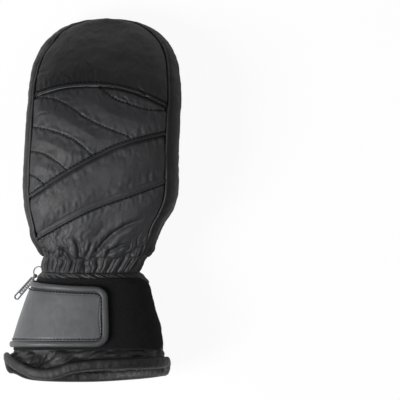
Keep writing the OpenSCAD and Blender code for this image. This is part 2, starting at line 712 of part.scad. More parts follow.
// The hook's plate has two ears that carry its pin, a small cord hole and a hooked slot
cord_hole_r = 1;
cord_hole_y = ear_l + 5;
slot_w = 2.4;
module clip_hook() {
    plate_l = hook_l - ear_l;
    ear_w = (hook_w - bar_gap) / 2;
    color(textile_black) translate([hook_x, hook_pin_y, hook_z]) union() {
        rotate([0, 90, 0]) cylinder(h = hook_w - 1, r = hook_pin_r, center = true, $fn = 32);
        for (side = [-1, 1]) translate([side * (bar_gap + ear_w) / 2, (ear_l - 2) / 2, 0])
            cube([ear_w, ear_l + 2, hook_t], center = true);
        difference() {
            translate([0, ear_l + plate_l / 2 - 1, 0]) cube([hook_w, plate_l, hook_t], center = true);
            translate([-2, cord_hole_y, 0]) cylinder(h = hook_t + 1, r = cord_hole_r, center = true, $fn = 32);
            translate([hook_w / 2 - 2, ear_l + 2.5, 0]) cube([6, slot_w, hook_t + 1], center = true);
        }
    }
}

// ---------------------------------------------------------------- thumb

// The thumb leaves a round opening in the palm, turns forward under it and lies along the palm.
// It swings sideways about the opening's own upright axis, so its root stays round.
thumb_root_z = palm_z - 1.8;
turn_y = thumb_y + thumb_root_r + 4;
thumb_w = 2 * thumb_root_r;
thumb_bend_rings = 6;
thumb_tip_rings = 6;
thumb_end_y = turn_y + thumb_length - 4;
thumb_round = 24;
thumb_top_gap = 0.3;

// A ring on the bend at turn b, from 0 at the opening to 1 where the thumb lies flat, at depth d
function bend_ring(b, d) =
    let (phi = 90 * b,
         inner = lerp(4, thumb_top_gap, ease(b * 1.2)),
         outer = lerp(4 + thumb_w, thumb_root_z - floor_z, pow(sin(phi), 1.2)),
         mid = (inner + outer) / 2, half = (outer - inner) / 2 - d)
    [for (j = [0:around - 1]) let (a = 360 * j / around, r = mid - half * bent(sin(a), 2.1))
        [thumb_x + (thumb_root_r - d) * bent(cos(a), 2.1), turn_y - r * cos(phi), thumb_root_z - r * sin(phi)]];
// A ring on the straight stretch: t is 0 at the bend and 1 at the tip
function flat_ring(t, d) =
    let (straight = thumb_end_y - turn_y - thumb_round,
         turn = clamp01((t - 0.4) / 0.6),
         y = turn_y + (t < 0.4 ? straight * t / 0.4 : straight + (thumb_round - d) * sin(84 * turn)),
         k = cos(84 * turn),
         half = (thumb_root_z - thumb_top_gap - floor_z) / 2, mid = thumb_root_z - thumb_top_gap - half,
         high = (half - d) * (0.35 + 0.65 * k))
    [for (j = [0:around - 1]) let (a = 360 * j / around)
        [thumb_x - 1.5 * t + (thumb_root_r - d) * k * bent(cos(a), 2.1), y, mid + high * bent(sin(a), 2.1)]];
function thumb_rings(d) = concat(
    [for (b = steps(thumb_bend_rings)) bend_ring(b, d)],
    [for (t = steps(thumb_tip_rings)) if (t > 0) flat_ring(t, d)]
);

// The leather is cut in two, with seams along the top and the underside
module thumb_panel(from) {
    half = around / 2;
    function grid(d) = [for (r = thumb_rings(d)) [for (j = [0:half]) let (k = (from + j) % around)
        j == 0 ? lerp(r[k], r[(k + 1) % around], 0.04) : j == half ? lerp(r[k], r[(k + around - 1) % around], 0.04) : r[k]]];
    color(leather_grey) plate(grid(0), grid(leather));
}
module thumb_outer_panel() thumb_panel(3 * around / 4);
module thumb_inner_panel() thumb_panel(around / 4);
thumb_wadding_d = leather + layer_gap;
module thumb_insulation() color(padding_white)
    sleeve(thumb_rings(thumb_wadding_d), thumb_rings(thumb_padding - layer_gap), shut = true);
module thumb_lining() color(textile_black)
    sleeve(thumb_rings(thumb_padding), thumb_rings(thumb_padding + lining_t), shut = true);

// A leather ring that fills the wedge between the palm and the thumb's root
module thumb_collar() {
    low = thumb_root_z + fit_gap;
    function palm_at(x, y) =
        let (s = section(y), q = clamp01(abs(x - s[0]) / s[1])) s[2] - s[3] * pow(1 - pow(q, s[5]), 1 / s[5]);
    function ring(r, high) = [
        for (j = [0:around - 1]) let (a = 360 * j / around, x = thumb_x + r * cos(a), y = thumb_y + r * sin(a))
            [x, y, high ? palm_at(x, y) - collar_gap : low]
    ];
    r_out = thumb_root_r;
    r_in = thumb_root_r - leather;
    color(leather_grey) sleeve([ring(r_out, true), ring(r_out, false)], [ring(r_in, true), ring(r_in, false)]);
}

fingertip_back_panel();
quilted_back_panel();
band_back_panel();
lower_back_panel();
side_gusset();
palm_panel();
palm_patch();
thumb_collar();
gathered_wrist();
wrist_elastics();
cuff_back_panel();
cuff_palm_panel();
hem_binding();
waterproof_insert();
insulation();
lining();
loop_patch();
strap_anchor();
strap();
strap_edging();
strap_hook_patch();
zip_tapes();
zip_teeth();
zip_stops();
zip_slider();
pull_ring();
pull_tab();
ring_loop();
hanging_ring();
hook_loop();
clip_hook();
thumb_outer_panel();
thumb_inner_panel();
thumb_insulation();
thumb_lining();
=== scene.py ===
import itertools
import math

import bpy
import numpy as np
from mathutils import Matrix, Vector


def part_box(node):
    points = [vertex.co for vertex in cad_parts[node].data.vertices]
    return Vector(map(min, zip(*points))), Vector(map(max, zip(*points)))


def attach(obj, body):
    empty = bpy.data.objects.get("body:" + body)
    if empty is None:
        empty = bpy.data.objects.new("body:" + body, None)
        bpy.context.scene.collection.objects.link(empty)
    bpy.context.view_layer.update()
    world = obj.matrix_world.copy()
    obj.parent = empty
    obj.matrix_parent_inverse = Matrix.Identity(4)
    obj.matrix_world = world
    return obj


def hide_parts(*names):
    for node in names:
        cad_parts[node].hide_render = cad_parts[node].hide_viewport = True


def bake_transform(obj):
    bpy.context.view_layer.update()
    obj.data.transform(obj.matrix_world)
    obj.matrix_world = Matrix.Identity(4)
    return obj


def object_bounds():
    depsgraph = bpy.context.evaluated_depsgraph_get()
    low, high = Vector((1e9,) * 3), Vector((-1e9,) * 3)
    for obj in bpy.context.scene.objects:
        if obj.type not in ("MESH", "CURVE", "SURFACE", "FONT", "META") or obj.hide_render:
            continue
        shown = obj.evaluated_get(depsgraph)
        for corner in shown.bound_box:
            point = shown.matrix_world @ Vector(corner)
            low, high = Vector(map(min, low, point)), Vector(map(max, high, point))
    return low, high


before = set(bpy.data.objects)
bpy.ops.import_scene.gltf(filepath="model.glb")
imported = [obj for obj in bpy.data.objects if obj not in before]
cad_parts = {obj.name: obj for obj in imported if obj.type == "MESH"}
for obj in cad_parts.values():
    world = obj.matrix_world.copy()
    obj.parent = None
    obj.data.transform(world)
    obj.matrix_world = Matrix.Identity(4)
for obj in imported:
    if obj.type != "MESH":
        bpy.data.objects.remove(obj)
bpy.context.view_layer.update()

# Lengths are in millimetres and angles in degrees until a mesh is made, in metres.
MM = 0.001


def low(node):
    return np.array(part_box(node)[0]) / MM


def high(node):
    return np.array(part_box(node)[1]) / MM


# ---------------------------------------------------------------- sizes, as the solids have them

GLOVE_LENGTH = high("side_gusset")[1]
CUFF_LENGTH = high("cuff_back_panel")[1] + 0.1
WRIST_TOP = high("gathered_wrist")[1] + 0.1
HAND_W, HAND_T, TIP_LENGTH, TIP_EDGE, HAND_LEAN = 123, 56, 64, 20, 12
WRIST_W, WRIST_T, CUFF_W, CUFF_T = 80, 53, 125, 73
CUFF_BULGE, MOUTH_TILT, HEM_R, WRIST_X = 4.5, 4, 3.5, 3.8
THUMB_R, THUMB_T, THUMB_LENGTH, THUMB_X = 20, 26.5, 54, 38
LEATHER = 1.3
FLOOR = low("hem_binding")[2]
KNUCKLE_Y = WRIST_TOP + 52
TIP_START = GLOVE_LENGTH - TIP_LENGTH
PALM_Z = FLOOR + THUMB_T + 2.5
TOP_Z = PALM_Z + HAND_T
TIP_FULLNESS = 2.6
SHOULDER = 0.57


def lerp(a, b, t):
    return a + (b - a) * t


def ease(t):
    t = np.clip(t, 0, 1)
    return t * t * (3 - 2 * t)


def through(keys, y):
    """A smooth curve through [(place, value), ...], at every y."""
    x, v = np.array(keys, float).T
    y = np.asarray(y, float)
    order = np.arange(len(x))
    before = np.maximum(order - 1, 0)
    after = np.minimum(order + 1, len(x) - 1)
    slope = (v[after] - v[before]) / (x[after] - x[before])
    i = np.clip(np.searchsorted(x, y, side="right") - 1, 0, len(x) - 2)
    w = x[i + 1] - x[i]
    t = np.clip((y - x[i]) / w, 0, 1)
    return ((1 + 2 * t) * (1 - t) ** 2 * v[i] + t * t * (3 - 2 * t) * v[i + 1]
            + t * (1 - t) * w * ((1 - t) * slope[i] - t * slope[i + 1]))


CENTRE_KEYS = [(CUFF_LENGTH, WRIST_X), (WRIST_TOP, lerp(WRIST_X, HAND_LEAN, 0.5)), (KNUCKLE_Y, HAND_LEAN),
               (TIP_START, HAND_LEAN + 3.8), (GLOVE_LENGTH, HAND_LEAN + 5)]
HALF_KEYS = [(CUFF_LENGTH, WRIST_W / 2), ((CUFF_LENGTH + WRIST_TOP) / 2, WRIST_W / 2 + 0.6),
             (lerp(WRIST_TOP, KNUCKLE_Y, 0.27), lerp(WRIST_W, HAND_W, 0.5) / 2),
             (lerp(WRIST_TOP, KNUCKLE_Y, 0.63), lerp(WRIST_W, HAND_W, 0.86) / 2),
             (KNUCKLE_Y, HAND_W / 2), (TIP_START, HAND_W / 2 - 0.3), (GLOVE_LENGTH, HAND_W / 2 - 1)]
BOTTOM_KEYS = [(CUFF_LENGTH, -WRIST_T / 2), (WRIST_TOP - 2, lerp(-WRIST_T / 2, PALM_Z, 0.6)),
               (WRIST_TOP + 13, PALM_Z + 0.3), (WRIST_TOP + 32, PALM_Z), (TIP_START - 17, PALM_Z),
               (TIP_START + 8, lerp(PALM_Z, FLOOR, 0.3)), (TIP_START + 28, lerp(PALM_Z, FLOOR, 0.68)),
               (TIP_START + 46, FLOOR + 1.5), (GLOVE_LENGTH, FLOOR + 1.5)]
TOP_KEYS = [(CUFF_LENGTH, WRIST_T / 2), (WRIST_TOP, WRIST_T / 2 + 4.5), (WRIST_TOP + 27, TOP_Z - 5),
            (KNUCKLE_Y, TOP_Z - 1), (KNUCKLE_Y + 30, TOP_Z), (TIP_START - 17, TOP_Z - 3.5),
            (TIP_START + 3, TOP_Z - 12), (TIP_START + 23, TOP_Z - 25.5), (TIP_START + 43, TOP_Z - 42),
            (GLOVE_LENGTH, FLOOR + 1.5 + TIP_EDGE)]
CUFF_FULLNESS, BACK_FULLEST = 2.1, 2.45
SQUARE_KEYS = [(CUFF_LENGTH, CUFF_FULLNESS), (WRIST_TOP, 2.3), (KNUCKLE_Y, 3.1), (GLOVE_LENGTH, 2.8)]


def bent(c, fullness):
    return np.sign(c) * np.abs(c) ** (2 / fullness)


def section(y):
    """Centre x, half width, centre z, half height, fullness above and below, at every y."""
    t = y / CUFF_LENGTH
    grow = CUFF_BULGE * np.sin(math.pi * np.clip(t, 0, 1)) / 2
    cuff = y < CUFF_LENGTH
    floor_side, back_side = through(BOTTOM_KEYS, y), through(TOP_KEYS, y)
    square = through(SQUARE_KEYS, y)
    return (np.where(cuff, WRIST_X * t + grow, through(CENTRE_KEYS, y)),
            np.where(cuff, lerp(CUFF_W, WRIST_W, t) / 2 + grow, through(HALF_KEYS, y)),
            np.where(cuff, 0, (floor_side + back_side) / 2),
            np.where(cuff, lerp(CUFF_T, WRIST_T, t) / 2, (back_side - floor_side) / 2),
            np.where(cuff, CUFF_FULLNESS, np.minimum(BACK_FULLEST, square)),
            np.where(cuff, CUFF_FULLNESS, square))


def at(a, y, d, narrow=1.0):
    """The point at angle a (0 thumb side, 90 back, 180 outer side) and depth d under the leather's face."""
    a, y, d, narrow = np.broadcast_arrays(np.asarray(a, float), y, d, narrow)
    x0, half, z0, tall, above, below = section(y)
    c, s = np.cos(np.radians(a)), np.sin(np.radians(a))
    full = np.where(s >= 0, above, below)
    rise = bent(s, full)
    wall = np.sign(rise) * np.minimum(np.abs(rise), SHOULDER)
    return np.stack([x0 + (half - d) * narrow * bent(c, full),
                     y + MOUTH_TILT * s * np.clip(1 - y / CUFF_LENGTH, 0, 1) ** 2,
                     z0 + (tall - d) * (wall + (rise - wall) * narrow)], -1)


def skin(a, y, d=0.0):
    """The same, closing round the fingertips."""
    r = np.clip((y - TIP_START) / TIP_LENGTH, 0, 1)
    narrow = (1 - r ** TIP_FULLNESS) ** (1 / TIP_FULLNESS)
    return at(a, np.minimum(y, TIP_START) + r * (TIP_LENGTH - d), d, narrow)


# The share of the hand's rows that lie round the fingertips
TIP_SHARE = 0.42


def tip_row_y(v, first_y):
    """y of row v of the hand, 0 at first_y and 1 at the fingertips, closer together round the tip."""
    turn = np.clip((v - 1 + TIP_SHARE) / TIP_SHARE, 0, 1)
    return np.where(v < 1 - TIP_SHARE, lerp(first_y, TIP_START, v / (1 - TIP_SHARE)),
                    TIP_START + TIP_LENGTH * bent(np.sin(math.pi / 2 * turn), TIP_FULLNESS))


# ---------------------------------------------------------------- noise

def noise(p, seed):
    """Smooth gradient noise from about -1 to 1 at points p (..., 3)."""
    p = np.asarray(p, float)
    cell = np.floor(p).astype(np.int64)
    f = p - cell
    u = f * f * f * (f * (f * 6 - 15) + 10)
    total = 0
    for corner in itertools.product((0, 1), repeat=3):
        c = cell + corner
        h = (c[..., 0] * 73856093) ^ (c[..., 1] * 19349663) ^ (c[..., 2] * 83492791)
        h = h ^ (seed * 668265263 + 12345)
        h = ((h ^ (h >> 13)) * 1274126177) & 0xFFFFFFFF
        h = ((h ^ (h >> 15)) * 2246822519) & 0xFFFFFFFF
        turn = (h & 0xFFFF) / 65536 * 2 * math.pi
        z = ((h >> 16) & 0xFFFF) / 32768 - 1
        flat = np.sqrt(1 - z * z)
        g = np.stack([np.cos(turn) * flat, np.sin(turn) * flat, z], -1)
        weight = np.prod(np.where(np.array(corner) == 1, u, 1 - u), -1)
        total = total + weight * ((f - corner) * g).sum(-1)
    return total * 1.7


def layered(p, seed):
    """Noise with two finer layers over it."""
    return sum(noise(p * 2 ** k, seed + k) / 2 ** k for k in range(3))


def creases(p, seed):
    """Sharp valleys between soft swells, from 0 down to about -1.6 where finer ones cross them."""
    total = 0
    for k in range(2):
        swell = np.minimum(1, np.abs(noise(p * 1.9 ** k, seed + k)) * 2.2)
        total = total + (swell - 1) / 1.6 ** k
    return total


def bump(x, width):
    """1 at x = 0, falling away smoothly over the width on both sides."""
    return np.exp(-(x / width) ** 2)


# ---------------------------------------------------------------- meshes

def swayed(points):
    """The points with the rows of gathers moved up and down a little, by place, so no row runs straight."""
    p = np.asarray(points, float)
    near_row = bump(p[:, 1] - WRIST_TOP + 8, 7)
    shift = 1.9 * noise(p * [0.12, 0.0, 0.12], 301) + 1.1 * noise(p * [0.28, 0.0, 0.28], 302)
    return p + np.stack([0 * shift, shift * near_row, 0 * shift], -1)


# How much fuller than the plain shape the mitten lies on its two sides, as y and width
THUMB_SIDE_FULL = [
    (-12, 0.8), (7, 2.4), (31, 3.0), (47, 2.1), (58, 3.0), (68, 4.2), (76, 1.0), (84, 1.0),
    (91, 4.0), (105, 2.6), (116, 1.8), (126, 3.2), (136, 3.8), (149, 3.0), (165, 1.7),
    (180, 1.0), (205, 0.9), (217, 1.5), (235, 0.5), (262, 0.9), (276, 0.0), (290, 0.0),
]
OUTER_SIDE_FULL = [
    (-12, 0.0), (88, 0.0), (96, 1.6), (105, 3.4), (116, 2.0), (136, 0.4),
    (150, 0.0), (252, 0.0), (268, -2.0), (279, -1.0), (290, 0.0),
]
FULL_FROM_X, FULL_FROM_Z = 42, -14


def filled_out(p):
    """The points moved sideways to the mitten's real outline, above the thumb's level only."""
    thumb_side = through(THUMB_SIDE_FULL, p[:, 1]) * ease(p[:, 0] / FULL_FROM_X)
    outer_side = through(OUTER_SIDE_FULL, p[:, 1]) * ease(-p[:, 0] / FULL_FROM_X)
    shift = (thumb_side - outer_side) * ease((p[:, 2] - FULL_FROM_Z) / 10)
    return p + np.stack([shift, 0 * shift, 0 * shift], -1)


def new_piece(name, points, faces, finish):
    mesh = bpy.data.meshes.new(name)
    mesh.from_pydata((filled_out(swayed(points)) * MM).tolist(), [], faces)
    mesh.validate()
    mesh.shade_smooth()
    mesh.materials.append(finish)
    piece = bpy.data.objects.new(name, mesh)
    bpy.context.scene.collection.objects.link(piece)
    return piece


def grid_faces(n, m, loop_n, loop_m=False, start=0):
    """Four-sided faces over n rows of m points, closed round where they loop."""
    faces = []
    for i in range(n if loop_n else n - 1):
        for j in range(m if loop_m else m - 1):
            a, b = i * m + j, i * m + (j + 1) % m
            c, d = ((i + 1) % n) * m + (j + 1) % m, ((i + 1) % n) * m + j
            faces.append((a + start, b + start, c + start, d + start))
    return faces


def outward(grid, loop_n=False):
    """Unit normals of a grid of points (n, m, 3)."""
    if loop_n:
        down = np.roll(grid, -1, 0) - np.roll(grid, 1, 0)
    else:
        down = np.gradient(grid, axis=0)
    n = np.cross(np.gradient(grid, axis=1), down)
    return n / np.maximum(np.linalg.norm(n, axis=-1, keepdims=True), 1e-9)


def unit(v):
    return v / np.maximum(np.linalg.norm(v, axis=-1, keepdims=True), 1e-12)


def raised(p, n, h):
    """The points moved out along their normals by the relief h."""
    return p + n * h[..., None]


def facing(grid, normals, i, j):
    """The grid and its normals, turned over when its faces look away from them at row i and column j."""
    face = np.cross(grid[i + 1, j] - grid[i, j], grid[i, j + 1] - grid[i, j])
    return (grid[::-1], normals[::-1]) if np.dot(face, normals[i, j]) < 0 else (grid, normals)


def sheet_piece(name, outer, finish, thickness=LEATHER, loop_n=False, *, normals):
    """A closed sheet: the outer grid and a copy of it, thickness further in, joined at the free edges."""
    n, m = outer.shape[:2]
    size = n * m
    faces = grid_faces(n, m, loop_n)
    faces += [f[::-1] for f in grid_faces(n, m, loop_n, False, size)]
    edges = []
    if not loop_n:
        edges += [((0, j), (0, j + 1)) for j in range(m - 1)]
        edges += [((n - 1, j + 1), (n - 1, j)) for j in range(m - 1)]
    edges += [(((i + 1) % n, 0), (i, 0)) for i in range(n if loop_n else n - 1)]
    edges += [((i, m - 1), ((i + 1) % n, m - 1)) for i in range(n if loop_n else n - 1)]
    for (i0, j0), (i1, j1) in edges:
        a, b = i0 * m + j0, i1 * m + j1
        faces.append((b, a, a + size, b + size))
    inner = outer - normals * thickness
    return new_piece(name, np.concatenate([outer.reshape(-1, 3), inner.reshape(-1, 3)]), faces, finish)


def run_along(path):
    """How far along the path each of its points lies."""
    return np.concatenate([[0], np.cumsum(np.linalg.norm(np.diff(path, axis=0), axis=1))])


def spaced(path, step, loop=False):
    """The path again, with its points evenly spaced."""
    path = np.asarray(path, float)
    if loop:
        path = np.vstack([path, path[:1]])
    run = run_along(path)
    count = max(2, int(round(run[-1] / step)) + 1)
    where = np.linspace(0, run[-1], count + 1)[:-1] if loop else np.linspace(0, run[-1], count)
    return np.stack([np.interp(where, run, path[:, k]) for k in range(3)], -1)


def tube_mesh(path, across, up, sides, loop=False):
    """Rings of points round a path, with the half axes of each ring as vectors across and up."""
    turn = np.arange(sides) * 2 * math.pi / sides
    rings = (path[:, None] + np.cos(turn)[None, :, None] * across[:, None]
             + np.sin(turn)[None, :, None] * up[:, None])
    n = len(path)
    faces = grid_faces(n, sides, loop, True)
    if not loop:
        faces += [tuple(range(sides - 1, -1, -1)), tuple(range((n - 1) * sides, n * sides))]
    return rings.reshape(-1, 3), faces


def tube_frames(path, normals, loop=False):
    """The two axes across a path: to its side, and up along the normals."""
    along = unit(np.roll(path, -1, 0) - np.roll(path, 1, 0)) if loop else unit(np.gradient(path, axis=0))
    side = unit(np.cross(along, normals))
    return side, unit(np.cross(side, along))


def tube_piece(name, path, normals, radius, finish, sides=10, loop=False):
    side, up = tube_frames(path, normals, loop)
    points, faces = tube_mesh(path, side * radius, up * radius, sides, loop)
    return new_piece(name, points, faces, finish)


def merged(name, parts, finish):
    points, faces, start = [], [], 0
    for p, f in parts:
        points.append(p)
        faces += [tuple(i + start for i in face) for face in f]
        start += len(p)
    return new_piece(name, np.concatenate(points), faces, finish)


# Stitches, as their spacing, their length and the thread's radius
SEAM_STITCH, QUILT_STITCH = (3.3, 2.3, 0.46), (3.0, 2.0, 0.4)
STRAP_STITCH, THUMB_STITCH = (2.9, 2.0, 0.42), (3.1, 2.2, 0.38)
# A stitch's own shape at six places: along it, in lengths, then its height and thickness, in thread radii
STITCH_ALONG = np.array([-0.5, -0.42, -0.2, 0.2, 0.42, 0.5])
STITCH_RISE = np.array([-0.6, 0.4, 1.1, 1.1, 0.4, -0.6])
STITCH_FULL = np.array([0.6, 0.95, 1, 1, 0.95, 0.6])


def stitch_parts(path, normals, step, length, radius):
    """Single stitches along a path on the leather: each rises out of its hole, lies flat and dips back in."""
    run = run_along(path)
    parts = []
    for k in range(int(run[-1] / step)):
        s = (k + 0.5) * step + STITCH_ALONG * length
        spot = np.stack([np.interp(s, run, path[:, i]) for i in range(3)], -1)
        up = unit(np.stack([np.interp(s, run, normals[:, i]) for i in range(3)], -1))
        spot = spot + up * (STITCH_RISE * radius)[:, None]
        side, lift = tube_frames(spot, up)
        r = STITCH_FULL[:, None] * radius
        parts.append(tube_mesh(spot, side * r, lift * r, 6))
    return parts


def edge_gap(p, *lines):
    """Distance of each point of a grid from the nearest of the matching points of some lines."""
    return np.minimum.reduce([np.linalg.norm(p - line, axis=-1) for line in lines])


def plan_distance(p, path):
    """Distance in x and y from each point of p to a path, and the nearest path point's place along it."""
    flat = p.reshape(-1, p.shape[-1])[:, :2]
    best = np.full(len(flat), 1e9)
    place = np.zeros(len(flat))
    for i, q in enumerate(path[:, :2]):
        gap = np.hypot(flat[:, 0] - q[0], flat[:, 1] - q[1])
        closer = gap < best
        best[closer] = gap[closer]
        place[closer] = i
    return best.reshape(p.shape[:-1]), place.reshape(p.shape[:-1])


# ---------------------------------------------------------------- materials

def material(name):
    m = bpy.data.materials.new(name)
    m.use_nodes = True
    nodes, links = m.node_tree.nodes, m.node_tree.links
    return m, nodes, links, nodes["Principled BSDF"]


def new_node(nodes, kind, **inputs):
    n = nodes.new(kind)
    for key, v in inputs.items():
        n.inputs[key.replace("_", " ")].default_value = v
    return n


def on_object(nodes, links, kind, **inputs):
    """A texture node that reads the object's own coordinates."""
    n = new_node(nodes, kind, **inputs)
    links.new(nodes.new("ShaderNodeTexCoord").outputs["Object"], n.inputs["Vector"])
    return n


def sums(nodes, links, operation, *terms):
    """The result of a maths node. A term is a number or another node's output."""
    n = nodes.new("ShaderNodeMath")
    n.operation = operation
    for i, term in enumerate(terms):
        if isinstance(term, float):
            n.inputs[i].default_value = term
        else:
            links.new(term, n.inputs[i])
    return n.outputs[0]


def mapped(nodes, links, source, **limits):
    """The source, mapped from From_Min..From_Max onto To_Min..To_Max."""
    n = new_node(nodes, "ShaderNodeMapRange", **limits)
    links.new(source, n.inputs["Value"])
    return n.outputs["Result"]


def toned(nodes, links, source, first, last, dark, pale):
    """A colour that goes from dark to pale as the source goes from first to last."""
    n = nodes.new("ShaderNodeValToRGB")
    stops = n.color_ramp.elements
    stops[0].position, stops[1].position = first, last
    stops[0].color, stops[1].color = (*dark, 1), (*pale, 1)
    links.new(source, n.inputs["Fac"])
    return n.outputs["Color"]


def bumped(nodes, links, source, strength, depth, under=None):
    """A normal raised by the source, on top of the normal under it."""
    n = new_node(nodes, "ShaderNodeBump", Strength=strength, Distance=depth)
    links.new(source, n.inputs["Height"])
    if under:
        links.new(under, n.inputs["Normal"])
    return n.outputs["Normal"]


def leather(name, dark, pale, roughness, grain=1.0, coat=0.0):
    """Grained leather: pebbles and pores as bump, colour uneven over the hide and darkened in the grooves
    between the pebbles as painted shade.
    """
    m, nodes, links, shader = material(name)
    warp = on_object(nodes, links, "ShaderNodeTexNoise", Scale=260.0, Detail=3.0)
    fine = on_object(nodes, links, "ShaderNodeTexNoise", Scale=2400.0, Detail=4.0, Roughness=0.7)
    broad = on_object(nodes, links, "ShaderNodeTexNoise", Scale=32.0, Detail=6.0, Roughness=0.62)
    shift = nodes.new("ShaderNodeVectorMath")
    shift.operation = "MULTIPLY_ADD"
    shift.inputs[1].default_value = (0.0016, 0.0016, 0.0016)
    links.new(warp.outputs["Color"], shift.inputs[0])
    links.new(nodes.new("ShaderNodeTexCoord").outputs["Object"], shift.inputs[2])
    pebbles = new_node(nodes, "ShaderNodeTexVoronoi", Scale=1150.0 / grain, Randomness=1.0)
    pebbles.feature = "DISTANCE_TO_EDGE"
    links.new(shift.outputs[0], pebbles.inputs["Vector"])
    edge = mapped(nodes, links, pebbles.outputs["Distance"], From_Max=0.14)
    # Painted shade: the colour is multiplied darker in the grooves between the pebbles, where shade falls.
    groove_shade = nodes.new("ShaderNodeMix")
    groove_shade.data_type = "RGBA"
    groove_shade.blend_type = "MULTIPLY"
    groove_shade.inputs["B"].default_value = (0.72, 0.72, 0.74, 1)
    links.new(sums(nodes, links, "SUBTRACT", 1.0, edge), groove_shade.inputs["Factor"])
    links.new(toned(nodes, links, broad.outputs["Fac"], 0.32, 0.72, dark, pale), groove_shade.inputs["A"])
    links.new(groove_shade.outputs["Result"], shader.inputs["Base Color"])
    gloss = mapped(nodes, links, broad.outputs["Fac"], From_Min=0.3, From_Max=0.7,
                   To_Min=roughness - 0.05, To_Max=roughness + 0.08)
    links.new(gloss, shader.inputs["Roughness"])
    shader.inputs["Specular IOR Level"].default_value = 0.4
    shader.inputs["Coat Weight"].default_value = coat
    shader.inputs["Coat Roughness"].default_value = 0.35
    pores = bumped(nodes, links, fine.outputs["Fac"], 0.25, 0.00012)
    links.new(bumped(nodes, links, edge, 0.42, 0.00022 * grain, pores), shader.inputs["Normal"])
    return m


def cloth(name, dark, pale, scale, strength, sheen, roughness=0.95):
    """Fibre or weave: soft noise over small cells, in the colour and as bump, with a soft sheen."""
    m, nodes, links, shader = material(name)
    fuzz = on_object(nodes, links, "ShaderNodeTexNoise", Scale=scale, Detail=5.0, Roughness=0.75)
    weave = on_object(nodes, links, "ShaderNodeTexVoronoi", Scale=scale * 0.7)
    fibre = sums(nodes, links, "MULTIPLY", fuzz.outputs["Fac"], weave.outputs["Distance"])
    links.new(toned(nodes, links, fibre, 0.1, 0.5, dark, pale), shader.inputs["Base Color"])
    shader.inputs["Roughness"].default_value = roughness
    shader.inputs["Sheen Weight"].default_value = sheen
    shader.inputs["Sheen Roughness"].default_value = 0.6
    shader.inputs["Specular IOR Level"].default_value = 0.2
    links.new(bumped(nodes, links, fibre, strength, 0.0006), shader.inputs["Normal"])
    return m


def hard(name, colour, roughness, metallic=0.0):
    """Metal or plastic with fine scuffs in its gloss and tone."""
    m, nodes, links, shader = material(name)
    scuff = on_object(nodes, links, "ShaderNodeTexNoise", Scale=900.0, Detail=6.0, Roughness=0.7)
    dark, pale = [c * 0.75 for c in colour], [min(1, c * 1.15) for c in colour]
    links.new(toned(nodes, links, scuff.outputs["Fac"], 0.35, 0.65, dark, pale), shader.inputs["Base Color"])
    gloss = mapped(nodes, links, scuff.outputs["Fac"], To_Min=roughness - 0.08, To_Max=roughness + 0.12)
    links.new(gloss, shader.inputs["Roughness"])
    shader.inputs["Metallic"].default_value = metallic
    links.new(bumped(nodes, links, scuff.outputs["Fac"], 0.12, 0.0001), shader.inputs["Normal"])
    return m


# Leathers and cloths take a dark and a pale colour, metals and plastics take one
HAND_LEATHER = leather("hand_leather", (0.0170, 0.0172, 0.0188), (0.0275, 0.0277, 0.0300), 0.42)
# Painted shade: the fingertip leather is a darker copy of the hand leather, for the fingertips sloping away
# from the light.
SHADED_TIP_LEATHER = leather("tip_leather_painted_shade", (0.0040, 0.0041, 0.0047), (0.0078, 0.0079, 0.0088), 0.44)
# Painted shade: the side wall's leather is darker than the hand leather partly by its own tone and partly as
# shade of a wall facing sideways.
SHADED_SIDE_LEATHER = leather("side_leather_painted_shade", (0.0035, 0.0035, 0.0040), (0.0065, 0.0065, 0.0072), 0.46)
PALM_LEATHER = leather("palm_leather", (0.010, 0.010, 0.0112), (0.017, 0.017, 0.0185), 0.52, 1.2)
CUFF_LEATHER = leather("cuff_leather", (0.0045, 0.0046, 0.0052), (0.0095, 0.0096, 0.0106), 0.44)
# The strap leather is paler partly as its own smooth leather and partly as painted sheen of the strap facing
# the light.
STRAP_LEATHER_PAINTED_SHEEN = leather("strap_leather", (0.066, 0.068, 0.072), (0.092, 0.094, 0.099), 0.38, 0.8, 0.16)
ROLL_LEATHER = leather("roll_leather", (0.044, 0.045, 0.049), (0.064, 0.065, 0.070), 0.38, 0.7, 0.14)
WELT_LEATHER = leather("welt_leather", (0.012, 0.012, 0.0135), (0.020, 0.020, 0.022), 0.40, 0.6)
THREAD = cloth("thread", (0.0015, 0.0015, 0.0018), (0.005, 0.005, 0.0056), 3000.0, 0.4, 0.02, 0.8)
PILE = cloth("loop_pile", (0.0018, 0.0018, 0.002), (0.0065, 0.0065, 0.007), 1500.0, 1.0, 0.05)
HOOKS = cloth("hook_tape", (0.006, 0.006, 0.007), (0.020, 0.020, 0.022), 2200.0, 0.8, 0.1, 0.6)
FLEECE = cloth("fleece", (0.004, 0.004, 0.0045), (0.013, 0.013, 0.0145), 700.0, 0.7, 0.15)
WEBBING = cloth("webbing", (0.007, 0.007, 0.008), (0.022, 0.022, 0.024), 1800.0, 0.7, 0.15, 0.8)
ZIP_TAPE = cloth("zip_tape", (0.009, 0.009, 0.010), (0.024, 0.024, 0.026), 2000.0, 0.7, 0.15, 0.85)
ELASTIC = cloth("elastic", (0.008, 0.008, 0.009), (0.02, 0.02, 0.022), 1600.0, 0.7, 0.1)
WADDING = cloth("wadding", (0.62, 0.62, 0.60), (0.80, 0.80, 0.78), 400.0, 0.9, 0.3)
FILM = cloth("insert_film", (0.30, 0.32, 0.35), (0.42, 0.44, 0.47), 900.0, 0.3, 0.1, 0.5)
GUNMETAL = hard("gunmetal", (0.14, 0.14, 0.15), 0.34, 1.0)
PALE_METAL = hard("pale_metal", (0.15, 0.15, 0.16), 0.46, 1.0)
ZIP_PLASTIC = hard("zip_plastic", (0.012, 0.012, 0.013), 0.38)
BLACK_PLASTIC = hard("black_plastic", (0.016, 0.016, 0.017), 0.42)

